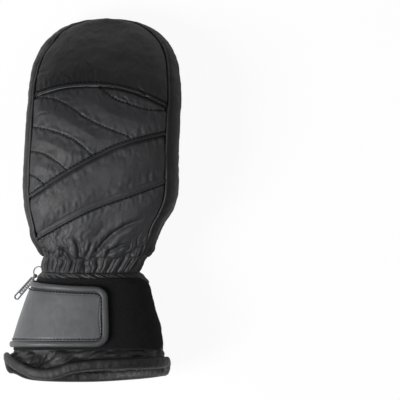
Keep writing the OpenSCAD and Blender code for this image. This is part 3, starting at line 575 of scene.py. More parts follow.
for node, finish in (("waterproof_insert", FILM), ("insulation", WADDING), ("thumb_insulation", WADDING),
                     ("thumb_lining", FLEECE), ("wrist_elastics", ELASTIC)):
    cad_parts[node].data.materials.clear()
    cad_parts[node].data.materials.append(finish)


def fit(piece, body, slot, *nodes):
    """The piece rides on its body and stands for its nodes; its slot is not used."""
    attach(piece, body)
    if nodes:
        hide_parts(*nodes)
    return piece


# ---------------------------------------------------------------- gathers round the wrist

rng = np.random.default_rng(7)
PLEATS = 27
pleat_widths = rng.uniform(0.78, 1.25, PLEATS)
pleat_edges = np.concatenate([[0], np.cumsum(pleat_widths)]) / pleat_widths.sum() * 360
pleat_height = rng.uniform(0.75, 1.2, PLEATS)
pleat_lean = rng.uniform(-1, 1, PLEATS)
HALF_PLEAT = 180 / PLEATS
UPPER_ROW, LOWER_ROW = WRIST_TOP - 8.0, CUFF_LENGTH - 1.0
HAND_START = UPPER_ROW + 0.4


def pleat(a):
    """Height across the gathers, 0 in a crease and about 1 on a puff, which has a small crease of its own."""
    a = np.mod(a, 360)
    i = np.clip(np.searchsorted(pleat_edges, a, side="right") - 1, 0, PLEATS - 1)
    f = (a - pleat_edges[i]) / (pleat_edges[i + 1] - pleat_edges[i])
    puff = np.abs(np.sin(math.pi * f)) ** 0.62
    crease = 0.34 * bump(f - 0.5 - 0.17 * pleat_lean[i], 0.075)
    return (puff - crease) * pleat_height[i]


# How far puffs, the folds above them and the slanted folds below them rise, and how deep a row pulls in
PUFF_RISE, FOLD_RISE, SLANT_RISE, ROW_DEPTH = 3.5, 3.9, 2.6, 1.1


def gathers(a, y):
    """Relief of the gathered leather: puffs between the two rows of elastic, folds beyond them."""
    flat = a * 0
    sway = 4.0 * noise(np.stack([a / 24, y / 10, flat], -1), 3)
    rows_shift = 1.3 * noise(np.stack([a / 13, flat, flat], -1), 4)
    up = y - UPPER_ROW - rows_shift
    down = LOWER_ROW + rows_shift * 0.7 - y
    share = np.clip(-down / (UPPER_ROW - LOWER_ROW + rows_shift * 0.3), 0, 1)
    arch = np.sin(math.pi * share) ** 0.5
    between = arch * (pleat(a + sway) * PUFF_RISE - 0.7) - ROW_DEPTH
    above = np.clip(up, 0, None)
    fold = pleat(a + HALF_PLEAT + sway * (1 + above / 14)) * FOLD_RISE - 1.7
    wide = noise(np.stack([a / 12 + 3, above / 45, flat], -1), 11)
    folds_above = (1 - np.exp(-above / 2.5)) * (fold * np.exp(-above / 10) + 2.3 * wide * bump(above, 24))
    folds_above -= ROW_DEPTH * np.exp(-above / 3)
    under = np.clip(down, 0, None)
    slant = pleat(a + HALF_PLEAT + sway + under * 2.4) * SLANT_RISE - 0.7
    folds_under = (1 - np.exp(-under / 2)) * slant * bump(under, 9) - ROW_DEPTH * np.exp(-under / 3)
    h = np.where(down > 0, folds_under, np.where(up > 0, folds_above, between))
    return h + 0.25 * noise(np.stack([a / 2.2, y / 4, flat], -1), 13) * np.exp(-above / 20)


# ---------------------------------------------------------------- seams across the back

def back_thumb_edge(y):
    return lerp(35.0, 30.0, ease((y - TIP_START) / TIP_LENGTH))


def back_outer_edge(y):
    return lerp(156.0, 150.0, ease((y - TIP_START) / TIP_LENGTH))


FINGERTIP_SEAM_Y = TIP_START + 7
BAND_KEYS = [(-48, KNUCKLE_Y - 15), (-14, KNUCKLE_Y + 6.5), (28, KNUCKLE_Y + 28.5), (66, KNUCKLE_Y + 39)]
LOWER_KEYS = [(-44, KNUCKLE_Y - 50), (-10, KNUCKLE_Y - 28.5), (20, KNUCKLE_Y - 14.5), (66, KNUCKLE_Y + 2.5)]


def seam_y(which, x):
    if which == "fingertip":
        return FINGERTIP_SEAM_Y - (x - 4) ** 2 / 215
    if which == "band":
        return through(BAND_KEYS, x)
    return through(LOWER_KEYS, x)


def back_angle(u, y):
    return lerp(back_thumb_edge(y), back_outer_edge(y), u)


def column_seam(which, u):
    """y of a seam, or of the panel's end at the wrist or the fingertips, on each column u of the back."""
    if which == "wrist":
        return u * 0 + HAND_START
    if which == "tip":
        return u * 0 + GLOVE_LENGTH - 0.12
    y = u * 0 + KNUCKLE_Y + 20
    for _ in range(6):
        y = seam_y(which, skin(back_angle(u, y), y)[..., 0])
    return y


SEAM_X = np.arange(-62, 90, 0.5)
SEAM_PLAN = {w: np.stack([SEAM_X, seam_y(w, SEAM_X)], -1) for w in ("fingertip", "band", "lower")}

# Quilting lines of the back, as points in x and y
QUILT_KEYS = [
    [(-46, 218), (-26, 218), (-12, 212), (1, 203), (14, 196), (38, 186)],
    [(7, 232), (24, 218), (40, 212), (51, 209), (70, 208)],
    [(-47, 196), (-26, 192), (-8, 185), (1, 178), (9, 170)],
    [(-49, 175), (-34, 174), (-20, 166), (-11, 158)],
    [(-49, 158), (-38, 154), (-30, 147)],
]
QUILTS = []
for keys in QUILT_KEYS:
    xs = np.arange(keys[0][0], keys[-1][0], 0.5)
    QUILTS.append(np.stack([xs, through(keys, xs)], -1))

# Long soft folds that fan up from the wrist, as start and end in x and y, depth and width
LONG_FOLDS = [
    ((10, 95), (45, 121), 2.2, 2.2), ((18, 94), (33, 101), 1.5, 1.6), ((-19, 99), (-9, 89), 1.6, 1.6),
    ((-33, 98), (-22, 86), 1.8, 1.8), ((-40, 96), (-31, 87), 1.3, 1.6), ((-6, 104), (-3, 90), 1.5, 1.7),
    ((6, 101), (0, 90), 1.2, 1.5), ((44, 94), (55, 104), 1.4, 1.9), ((30, 90), (45, 99), 1.3, 1.6),
]
# Short creases of the fingertip panel and of the quilted panel, written the same way
TIP_CREASES = [
    ((2, 246), (9, 237), 0.7, 0.9), ((-18, 238), (-9, 233), 0.8, 1.0), ((-47, 236), (-30, 240), 0.7, 1.3),
    ((43, 226), (52, 214), 0.9, 1.0),
]
QUILTED_CREASES = [
    ((-22, 209), (-19, 214), 0.5, 0.8), ((-37, 204), (-28, 206), 0.5, 0.9), ((31, 219), (36, 212), 0.5, 0.8),
    ((12, 221), (15, 214), 0.4, 0.7),
]


def crease_relief(p, creases_list):
    """Relief of single creases: each a valley that bows a little and fades out, with a swell on each side."""
    h = np.zeros(p.shape[:2])
    for start, end, depth, width in creases_list:
        start, end = np.array(start, float), np.array(end, float)
        length = np.linalg.norm(end - start)
        along = (end - start) / length
        away = p[..., :2] - start
        run = away @ along
        bow = 0.08 * length * np.sin(math.pi * np.clip(run / length, 0, 1))
        gap = away[..., 0] * along[1] - away[..., 1] * along[0] + bow
        fade = ease(run / length * 3 + 0.6) * ease((length - run) / length * 2.2 + 0.35)
        fade = fade * (run > -0.4 * length) * (run < 1.4 * length)
        h += depth * fade * (0.6 * bump(gap - 1.9 * width, 1.5 * width) - bump(gap, 0.75 * width)
                             + 0.45 * bump(gap + 1.9 * width, 1.5 * width))
    return h


def side_gap(p):
    """Distance from the nearer of the back's two side edges."""
    y = p[..., 1]
    return edge_gap(p, skin(back_thumb_edge(y), y), skin(back_outer_edge(y), y))


def back_relief(p, low_seam, high_seam, quilted):
    """How far the back's leather stands off its plain shape."""
    h = np.zeros(p.shape[:2])
    puff_gap = side_gap(p)
    h -= 1.5 * bump(puff_gap, 1.7)
    if low_seam in SEAM_PLAN:
        gap, _ = plan_distance(p, SEAM_PLAN[low_seam])
        puff_gap = np.minimum(puff_gap, gap)
        lip = 0.45 if low_seam == "lower" else 0.95
        h += lip * bump(gap - 0.5, 0.6) - 0.6 * bump(gap - 2.5, 0.6)
        h += 0.5 * bump(gap - 7, 5) * noise(p / [3.2, 7, 4.5], 21)
    if high_seam in SEAM_PLAN:
        gap, _ = plan_distance(p, SEAM_PLAN[high_seam])
        puff_gap = np.minimum(puff_gap, gap)
        if high_seam == "lower":
            h += 0.7 * bump(gap - 0.8, 0.8) - 0.6 * bump(gap - 2.5, 0.7)
        else:
            h -= 1.7 * bump(gap, 1.9)
        h += 0.55 * bump(gap - 5, 4) * noise(p / [3.2, 6, 4], 22)
    if quilted:
        for k, line in enumerate(QUILTS):
            gap, place = plan_distance(p, line)
            puff_gap = np.minimum(puff_gap, gap)
            h -= 0.8 * bump(gap, 0.8)
            h += 0.55 * bump(gap - 1.5, 4.0) * noise(np.stack([place / 7, gap / 5, gap * 0 + k], -1), 40 + k)
        h += crease_relief(p, QUILTED_CREASES)
    if low_seam == "fingertip":
        h += crease_relief(p, TIP_CREASES)
    h += 1.5 * (1 - bump(puff_gap, 9))
    h += 0.5 * layered(p / 24, 5) + 0.15 * creases(p / [10, 15, 10], 8) * (1 - bump(puff_gap, 4))
    h += 0.05 * creases(p / [3, 5, 3], 9)
    return h


def back_panel(low_seam, high_seam, rows, quilted):
    """The leather's face between two seams of the back, 210 columns across, and its normals."""
    u = np.linspace(0.0015, 0.9985, 210)[:, None] + np.zeros((1, rows))
    t = np.linspace(0, 1, rows)[None, :]
    t = np.sin(math.pi / 2 * t) if high_seam == "tip" else t
    first, last = column_seam(low_seam, u), column_seam(high_seam, u)
    y = lerp(first, last, t)
    a = back_angle(u, y)
    p = skin(a, y)
    n = outward(p)
    h = back_relief(p, low_seam, high_seam, quilted)
    if low_seam == "wrist":
        h += gathers(a, y) + crease_relief(p, LONG_FOLDS)
    return raised(p, n, h), n


# Each panel of the back: the seams it lies between, its rows, whether it is quilted, and its node
BACK = {
    "fingertip_back": ("fingertip", "tip", 84, False, "fingertip_back_panel"),
    "quilted_back": ("band", "fingertip", 90, True, "quilted_back_panel"),
    "band_back": ("lower", "band", 56, False, "band_back_panel"),
    "lower_back": ("wrist", "lower", 130, False, "lower_back_panel"),
}
back_grids = {}
for name, (first, last, rows, quilted, node) in BACK.items():
    grid, normals = back_panel(first, last, rows, quilted)
    back_grids[name] = (grid, normals)
    # The fingertip panel takes the darker leather with painted shade.
    finish = SHADED_TIP_LEATHER if name == "fingertip_back" else HAND_LEATHER
    fit(sheet_piece(name, grid, finish, normals=normals), "shell", "leather", node)


def on_grid(grid, normals, plan):
    """Points of a grid under a line in plan, with their normals. Places off the grid are left out."""
    flat, flat_n = grid.reshape(-1, 3), normals.reshape(-1, 3)
    spots, ups = [], []
    for q in plan:
        gap = np.hypot(flat[:, 0] - q[0], flat[:, 1] - q[1])
        near = np.argsort(gap)[:4]
        if gap[near[0]] > 1.0:
            continue
        w = 1 / (gap[near] + 1e-3)
        w = w / w.sum()
        spots.append(np.array([q[0], q[1], (flat[near, 2] * w).sum()]))
        ups.append(unit((flat_n[near] * w[:, None]).sum(0)))
    return np.array(spots), np.array(ups)


def moved_along(plan, by):
    """A plan line shifted sideways, to its left."""
    along = unit(np.gradient(plan, axis=0))
    return plan + np.stack([-along[:, 1], along[:, 0]], -1) * by


back_stitches = []
for panel, seam, shift in (("fingertip_back", "fingertip", 2.6), ("quilted_back", "band", 2.6),
                           ("lower_back", "lower", -2.5)):
    spots, ups = on_grid(*back_grids[panel], moved_along(SEAM_PLAN[seam], shift))
    back_stitches += stitch_parts(spots, ups, *SEAM_STITCH)
for line in QUILTS:
    spots, ups = on_grid(*back_grids["quilted_back"], line)
    back_stitches += stitch_parts(spots, ups, *QUILT_STITCH)
fit(merged("back_stitching", back_stitches, THREAD), "shell", "leather")


# ---------------------------------------------------------------- side wall and palm

PALM_THUMB_EDGE, PALM_OUTER_EDGE = -32.0, -148.0


def wall_grid():
    """The side wall's skin, once round from the thumb side, with its angles, y and share of its height."""
    columns = 230
    v = np.concatenate([np.linspace(0, 1, columns), np.linspace(1, 0, columns)[1:]])[:, None]
    outer = (np.arange(2 * columns - 1) < columns)[:, None]
    t = np.linspace(0, 1, 22)[None, :]
    y = np.minimum(tip_row_y(v, HAND_START), GLOVE_LENGTH - 0.02)
    top = np.where(outer, back_outer_edge(y) + 0.2, back_thumb_edge(y) - 0.2)
    bottom = np.where(outer, 360 + PALM_OUTER_EDGE - 0.2, PALM_THUMB_EDGE + 0.2)
    a = lerp(top, bottom, t)
    return skin(a, y + 0 * t), a, y + 0 * t, t


p, a, y, t = wall_grid()
wall_n = -outward(p)
wall_n[np.abs(p[..., 1] - GLOVE_LENGTH) < 0.3] = (0, 1, 0)
edge = np.minimum(t, 1 - t) * np.linalg.norm(p[:, -1] - p[:, 0], axis=-1)[:, None]
h = -1.2 * bump(edge, 1.5) + 0.8 * (1 - bump(edge, 7))
h += 0.35 * layered(p / 16, 61) + 0.3 * creases(p / 12, 62) + gathers(a, y)
wall = raised(p, wall_n, h)
# The side wall takes the darker leather with painted shade.
side_wall = sheet_piece("side_wall", wall[::-1], SHADED_SIDE_LEATHER, normals=wall_n[::-1])
fit(side_wall, "shell", "leather", "side_gusset")

PIPING_R = 0.95
for name, column in (("back_piping", 0), ("palm_piping", -1)):
    line = wall[:, column] + wall_n[:, column] * 0.75
    keep = np.concatenate([[True], np.linalg.norm(np.diff(line, axis=0), axis=1) > 0.05])
    line = spaced(line[keep], 1.6)
    ups = unit(np.array([[spot[0] - HAND_LEAN, 0.5, spot[2]] for spot in line]))
    fit(tube_piece(name, line, ups, PIPING_R, WELT_LEATHER), "shell", "leather")


def palm_relief(p, a, y):
    """Relief of the palm: pulled in at its edges, with three creases where the hand bends."""
    edge = np.minimum(np.abs(a - PALM_THUMB_EDGE), np.abs(a - PALM_OUTER_EDGE)) * 0.9
    h = -1.2 * bump(edge, 1.8) + 0.6 * (1 - bump(edge, 8))
    h += 0.4 * layered(p / 17, 71) + 0.45 * creases(p / [16, 8, 10], 72)
    bend = TIP_START - 6
    h -= 1.0 * bump(y - bend - 0.06 * p[..., 0], 1.8) + 0.7 * bump(y - bend - 15 + 0.05 * p[..., 0], 1.6)
    h -= 0.8 * bump(y - KNUCKLE_Y + 0.12 * p[..., 0], 1.9)
    return h + gathers(a, y)


v = np.linspace(0, 0.995, 170)[None, :]
a = lerp(PALM_THUMB_EDGE, PALM_OUTER_EDGE, np.linspace(0, 1, 130)[:, None]) + 0 * v
y = tip_row_y(v, HAND_START) + 0 * a
p = skin(a, y)
palm_n = -outward(p)
least = lerp(-1.2, -0.35, ease((y - WRIST_TOP - 12) / 10))
palm = raised(p, palm_n, np.clip(palm_relief(p, a, y), least, 1.6))
fit(sheet_piece("palm", palm[::-1], PALM_LEATHER, normals=palm_n[::-1]), "shell", "leather", "palm_panel")


PAD_EDGE = -100.0
u = np.linspace(0, 1, 60)[:, None]
t = np.linspace(0, 1, 110)[None, :]
cut = 8 * (2 * u - 1) ** 4
a = lerp(PAD_EDGE, PALM_OUTER_EDGE + 10, u) + 0 * t
y = lerp(WRIST_TOP + 14 + cut, TIP_START + 6 - cut, t)
p = skin(a, y)
n = -outward(p)
edge = np.minimum.reduce([np.abs(a - PAD_EDGE) * 0.55, np.abs(a - PALM_OUTER_EDGE - 10) * 0.9,
                          edge_gap(p, p[:, :1], p[:, -1:])])
h = np.clip(palm_relief(p, a, y), -1, 1) * 0.6 + 1.5 - 0.9 * bump(edge, 0.8) - 0.4 * bump(edge - 2.6, 0.7)
pad = raised(p, n, h)
fit(sheet_piece("palm_pad", pad[::-1], PALM_LEATHER, 1.1, normals=n[::-1]), "shell", "leather", "palm_patch")
loop_path, loop_n = (np.concatenate([g[4, 4:-4], g[4:-4, -5], g[-5, -5:4:-1], g[-5:3:-1, 4]])
                     for g in (pad, n))
fit(merged("pad_stitching", stitch_parts(loop_path, loop_n, *SEAM_STITCH), THREAD), "shell", "leather")


# ---------------------------------------------------------------- wrist and cuff

a = (np.arange(1000) * 0.36)[:, None] + np.zeros((1, 90))
y = np.linspace(CUFF_LENGTH - 10, UPPER_ROW + 2.2, 90)[None, :] + 0 * a
p = at(a, y, 0)
n = outward(p, True)
tuck = 0.9 * ease((y - UPPER_ROW - 0.2) / 1.4)
face = raised(p, n, gathers(a, y) + 0.12 * noise(p / 2.4, 81) - tuck)
wrist = sheet_piece("wrist_gathers", face, HAND_LEATHER, 1.0, True, normals=n)
fit(wrist, "shell", "leather", "gathered_wrist")

# Where the zip runs, and the half width in degrees of the slot that its tapes fill
ZIP_ANGLE, ZIP_SLOT = 207.0, 8.5
TAPE_INNER, TAPE_OUTER = 0.95, 7.3

# The mouth's rim as y at x: the back half dips and rises in a soft wave, the palm half reaches further down
RIM_BACK = [(-74, 7.5), (-64, 8.5), (-50, 1.5), (-37, -3.6), (-23, -3.8), (-8, 1.4), (18, 3.9), (72, 3.5)]
RIM_PALM = [(-74, 6), (-60, -4), (-40, -9.6), (0, -11.4), (35, -8.9), (58, -5.0), (72, 1)]
RIM_REACH, RIM_FLARE, FLARE_REACH = 24.0, 3.4, 15
# The zip pull swings past the rim here, so the rim is slimmer and flares less
PULL_SIDE = ZIP_ANGLE - 8


def rim_y(a, x):
    """The rim's y, going over from the back's wave to the palm's at the two sides."""
    side_mix = ease((np.sin(np.radians(a)) + 0.16) / 0.32)
    return lerp(through(RIM_PALM, x), through(RIM_BACK, x), side_mix)


def with_rim(p, a, y):
    """Cuff points at y drawn towards the wavy, flared rim near the mouth."""
    pull = np.clip(1 - y / RIM_REACH, 0, 1) ** 2
    flare = np.clip(1 - y / FLARE_REACH, 0, 1) ** 1.6 * RIM_FLARE * (1 - 0.95 * bump(a - PULL_SIDE + 1, 20))
    shift = pull * (rim_y(a, p[..., 0]) - MOUTH_TILT * np.sin(np.radians(a)))
    return raised(p + np.stack([0 * a, shift, 0 * a], -1), unit(p * [1, 0, 1]), flare)


def cuff_part(first, last, columns):
    """The cuff's skin from one angle to another, with its normals, relief, angles and y."""
    a = np.linspace(first, last, columns)[:, None] + np.zeros((1, 110))
    y = np.linspace(0.4, CUFF_LENGTH - 1.0, 110)[None, :] + 0 * a
    p = with_rim(at(a, y, 0), a, y)
    low_folds = bump(y - 8, 8) * (1.9 * creases(np.stack([a / 24, y / 13 + a / 90, a * 0], -1), 91) + 1.1)
    h = low_folds + 0.5 * layered(p / 14, 92) + 0.25 * creases(p / [12, 14, 12], 93)
    return p, outward(p), h, a, y


p, n, h, a, y = cuff_part(0.5, ZIP_ANGLE - ZIP_SLOT, 330)
under_pad = ease((y - 11) / 5) * ease((a - 9) / 6) * ease((CUFF_LENGTH - 3 - y) / 5)
h = h * (1 - 0.9 * under_pad) - 0.5 * under_pad
h -= 2.6 * bump(a - 124, 3.0) * bump(y - 6, 6) + 2.2 * bump(a - 131, 2.2) * bump(y - 7, 5)
fit(sheet_piece("cuff_back", raised(p, n, h), CUFF_LEATHER, normals=n), "shell", "leather", "cuff_back_panel")
p, n, h, a, y = cuff_part(ZIP_ANGLE + ZIP_SLOT, 359.5, 260)
fit(sheet_piece("cuff_palm", raised(p, n, h), CUFF_LEATHER, normals=n), "shell", "leather", "cuff_palm_panel")

# The binding folded over the mouth's edge, and a thin piping along its lower side
HEM_TALL, HEM_THICK = 4.4, 2.6
count, sides = 480, 20
a = np.arange(count) * 360.0 / count
ring = with_rim(at(a, 0.0, LEATHER / 2), a, a * 0)
face = unit(at(a, 0.0, -1) - at(a, 0.0, 1))
across, up = tube_frames(ring, face, True)
ripple = (1 + 0.05 * noise(np.stack([a / 4, a * 0, a * 0], -1), 101)
          + 0.04 * noise(np.stack([a / 1.6, a * 0, a * 0], -1), 102))
slim = 1 - 0.45 * bump(a - PULL_SIDE, 19)
turn = np.arange(sides) * 2 * math.pi / sides
tall = np.sign(np.cos(turn)) * np.abs(np.cos(turn)) ** 0.75 * HEM_TALL
thick = np.sign(np.sin(turn)) * np.abs(np.sin(turn)) ** 0.85 * HEM_THICK
reach = across[:, None] * tall[None, :, None] + up[:, None] * thick[None, :, None]
hem = ring[:, None] + reach * (slim * ripple)[:, None, None]
hem += up[:, None] * (0.35 * noise(hem / [3.2, 6, 3.2], 103))[..., None]
hem_piece = new_piece("hem", hem.reshape(-1, 3), grid_faces(count, sides, True, True), CUFF_LEATHER)
fit(hem_piece, "shell", "leather", "hem_binding")
lower = across * np.where(across[:, 1:2] < 0, 1, -1)
rim_line = ring + lower * ((HEM_TALL - 0.15) * slim)[:, None]
fit(tube_piece("hem_piping", rim_line, face, 0.5, WELT_LEATHER, 8, True), "shell", "leather")

# ---------------------------------------------------------------- lining

a = (np.arange(240) * 1.5)[:, None]
v = np.linspace(0, 0.985, 150)[None, :]
y = tip_row_y(v, HEM_R - 2.5) + 0 * a
depth = lerp(3.7, 8.0, ease((y - WRIST_TOP + 4) / 18))
depth += 1.3 * bump(a - ZIP_ANGLE, 14) * ease((CUFF_LENGTH + 6 - y) / 8)
p = skin(a, y, depth)
n = outward(p, True)
fleece = raised(p, n, 0.5 * noise(p / 6, 111) + 0.3 * noise(p / 2.2, 112))
fit(sheet_piece("lining_bag", fleece, FLEECE, 1.5, True, normals=n), "shell", "fleece", "lining")

# ---------------------------------------------------------------- loop pad on the back of the cuff

PATCH_D, PILE_T, FIT_GAP, STRAP_T, EDGE_R = -0.175, 1.2, 0.35, 2.0, 1.7
HOOK_D = PATCH_D - PILE_T - FIT_GAP
STRAP_D = HOOK_D - PILE_T - FIT_GAP / 2
PATCH_LOW, PATCH_HIGH, PATCH_CORNER = 12.5, CUFF_LENGTH - 5.0, 11.0
PATCH_START, PATCH_END = 13, 172
u = np.linspace(0, 1, 260)[:, None]
s = np.linspace(0, 1, 120)[None, :]
cut = PATCH_CORNER * (1 - np.sqrt(1 - np.clip(1 - u * 9, 0, 1) ** 2))
a = lerp(PATCH_START, PATCH_END, u) + 0 * s
y = lerp(PATCH_LOW + cut * 0.5, PATCH_HIGH - cut, s)
p = at(a, y, PATCH_D)
n = outward(p)
edge = edge_gap(p, p[:, :1], p[:, -1:], p[:1])
fuzz = 0.22 * noise(p / 0.9, 121) + 0.16 * noise(p / 0.45, 122)
h = 1.35 + 0.25 * layered(p / 11, 123) + fuzz - 0.9 * bump(edge, 0.8)
pile = raised(p, n, h)
fit(sheet_piece("loop_pad", pile, PILE, 1.3, normals=n), "shell", "loop_pile", "loop_patch")

# Fine loops of the pile, as thin curled fibres
fibre_rng = np.random.default_rng(19)
FIBRES = 5200
fibres = []
for i, j, reach, lean, spin in zip(fibre_rng.integers(3, 257, FIBRES), fibre_rng.integers(3, 117, FIBRES),
                                   fibre_rng.uniform(0.35, 0.9, FIBRES), fibre_rng.uniform(0.2, 0.7, FIBRES),
                                   fibre_rng.uniform(0, 2 * math.pi, FIBRES)):
    root, up = pile[i, j], n[i, j]
    side = unit(np.cross(up, [math.cos(spin), math.sin(spin), 0.3]))
    width = np.cross(up, side) * 0.055
    mid = root + up * reach + side * lean * 0.4
    end = root + up * reach * 0.25 + side * lean * 1.1
    fibres.append((np.array([root - width, root + width, mid + width, mid - width, end]),
                   [(0, 1, 2, 3), (3, 2, 4)]))
fit(merged("loop_fibres", fibres, PILE), "shell", "loop_pile")

# ---------------------------------------------------------------- strap

STRAP_ROOT, STRAP_END, STRAP_MID = 181.0, 76.0, 41.5
STRAP_W, STRAP_TAPER, STRAP_SLOPE, STRAP_CORNER = 52.0, 4.0, 2.2, 9.0
ONE_DEGREE = np.linalg.norm(at(STRAP_END + 1, STRAP_MID, STRAP_D) - at(STRAP_END, STRAP_MID, STRAP_D))
STRAP_RUN = (STRAP_ROOT - STRAP_END) * ONE_DEGREE
ANCHOR_END = ZIP_ANGLE - ZIP_SLOT - 1


def strap_round(t, inset):
    """How much the strap's half width loses to its round corners at share t of its length."""
    r = STRAP_CORNER - inset
    past = np.clip(STRAP_CORNER - (1 - t) * STRAP_RUN, 0, r)
    return r - np.sqrt(r * r - past * past)


def strap_at(t, s, d, inset=0.0):
    """The strap's point at share t of its length and s of its width. t below 0 is on the sewn root."""
    t, s = np.broadcast_arrays(t, s)
    on_flap = np.clip(t, 0, 1)
    half = (STRAP_W + STRAP_TAPER * (0.5 - on_flap)) / 2 - inset - strap_round(on_flap, inset)
    y = STRAP_MID + STRAP_SLOPE * (0.5 - on_flap) + lerp(-half, half, s)
    a = np.where(t < 0, lerp(STRAP_ROOT, ANCHOR_END, -t), lerp(STRAP_ROOT, STRAP_END, t))
    sink = np.where(t < 0, lerp(0, 2.6, ease(-t)), 0)
    return at(a, y, d + sink)


inset = 2 * EDGE_R + 1.1
last = 1 - inset / STRAP_RUN
root, straight = np.linspace(-1, 0, 40)[:-1], np.linspace(0, 0.88, 130)[:-1]
ts = np.concatenate([root, straight, np.linspace(0.88, last, 46)])[:, None]
ss = np.linspace(0, 1, 90)[None, :]
p = strap_at(ts, ss, STRAP_D - STRAP_T, inset)
n = -outward(p)
edge = edge_gap(p, p[:, :1], p[:, -1:], p[-1:])
h = 0.35 * (1 - bump(edge, 7)) - 1.0 * bump(edge, 1.0) - 0.32 * bump(edge - 2.3, 0.55)
h += 0.22 * layered(p / 22, 131) + 0.12 * creases(p / [12, 20, 12], 132)
strap_face, strap_n = raised(p, n, h), n
# The strap takes its leather with painted sheen.
strap_piece = sheet_piece("strap_leather", strap_face[::-1], STRAP_LEATHER_PAINTED_SHEEN, 1.8, normals=n[::-1])

ROLL_IN = EDGE_R + 0.5
last = 1 - ROLL_IN / STRAP_RUN
ts = np.concatenate([np.linspace(-1, 0, 30)[:-1], np.linspace(0, 0.86, 60), np.linspace(0.86, last, 40)[1:]])


def roll_line(d):
    """The roll's middle at depth d: out along the strap's low edge, across its end and back."""
    return np.concatenate([strap_at(ts, 0.0, d, ROLL_IN),
                           strap_at(np.full(30, last), np.linspace(0, 1, 32)[1:-1], d, ROLL_IN),
                           strap_at(ts[::-1], 1.0, d, ROLL_IN)])


route = roll_line(STRAP_D - STRAP_T / 2)
out = roll_line(STRAP_D - 6) - route
even = spaced(route, 0.9)
lift = unit(np.stack([np.interp(np.linspace(0, 1, len(even)), np.linspace(0, 1, len(route)), out[:, k])
                      for k in range(3)], -1))
side, up = tube_frames(even, lift)
swell = EDGE_R * (1 + 0.05 * noise(even / 5, 141))[:, None]
points, faces = tube_mesh(even, side * 1.5 * swell, up * 0.98 * swell, 18)
roll_piece = new_piece("strap_roll", points, faces, ROLL_LEATHER)

BORDER = 4
loop_path, loop_n = (
    np.concatenate([g[6:-BORDER, BORDER], g[-BORDER, BORDER:-BORDER], g[-BORDER:6:-1, -BORDER]])
    for g in (strap_face, strap_n))
stitch_piece = merged("strap_stitching", stitch_parts(loop_path, loop_n, *STRAP_STITCH), THREAD)

root_low, root_high = strap_at(-0.55, 0.5, STRAP_D), strap_at(0.07, 0.5, STRAP_D)
for piece, nodes in ((strap_piece, ("strap", "strap_anchor")), (roll_piece, ("strap_edging",)),
                     (stitch_piece, ())):
    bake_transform(piece)
    if nodes:
        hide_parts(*nodes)

HOOKS_START, HOOKS_END, HOOKS_IN = 0.42, 0.93, 6.7
u = np.linspace(HOOKS_START, HOOKS_END, 120)[:, None]
s = np.linspace(0, 1, 70)[None, :]
p = strap_at(u, s, HOOK_D, HOOKS_IN)
n = outward(p)
hooks = raised(p, n, 1.0 - 0.15 * noise(p / 0.8, 151))
fit(sheet_piece("strap_hooks", hooks, HOOKS, 1.0, normals=n), "strap_flap", "hook_tape", "strap_hook_patch")

# ---------------------------------------------------------------- thumb

THUMB_Y = WRIST_TOP + 35
THUMB_ROOT_Z = PALM_Z - 1.8
TURN_Y = THUMB_Y + THUMB_R + 4
THUMB_END_Y = TURN_Y + THUMB_LENGTH - 4
THUMB_ROUND, THUMB_GAP, THUMB_FULLNESS = 24, 0.3, 2.1
THUMB_HALF = (THUMB_ROOT_Z - THUMB_GAP - FLOOR) / 2


def thumb_bend(b, a):
    """The thumb's skin on its bend, b from 0 at the palm to 1 where it lies flat."""
    phi = math.pi / 2 * b
    inner = lerp(4, THUMB_GAP, ease(b * 1.2))
    outer = lerp(4 + 2 * THUMB_R, THUMB_ROOT_Z - FLOOR, np.sin(phi) ** 1.2)
    r = (inner + outer) / 2 - (outer - inner) / 2 * bent(np.sin(np.radians(a)), THUMB_FULLNESS)
    x = THUMB_X + THUMB_R * bent(np.cos(np.radians(a)), THUMB_FULLNESS)
    return np.stack(np.broadcast_arrays(x, TURN_Y - r * np.cos(phi), THUMB_ROOT_Z - r * np.sin(phi)), -1)


def thumb_flat(t, a):
    """The thumb's skin on its straight part, t from 0 at the bend to 1 at the closed tip."""
    straight = THUMB_END_Y - TURN_Y - THUMB_ROUND
    turn = np.radians(90) * np.clip((t - 0.4) / 0.6, 0, 1)
    k = np.cos(turn)
    y = TURN_Y + np.where(t < 0.4, straight * t / 0.4, straight + THUMB_ROUND * np.sin(turn))
    x = THUMB_X - 1.5 * t + THUMB_R * k * bent(np.cos(np.radians(a)), THUMB_FULLNESS)
    rise = THUMB_HALF * (0.3 + 0.7 * k) * bent(np.sin(np.radians(a)), THUMB_FULLNESS)
    z = THUMB_ROOT_Z - THUMB_GAP - THUMB_HALF + rise
    return np.stack(np.broadcast_arrays(x, y, z), -1)


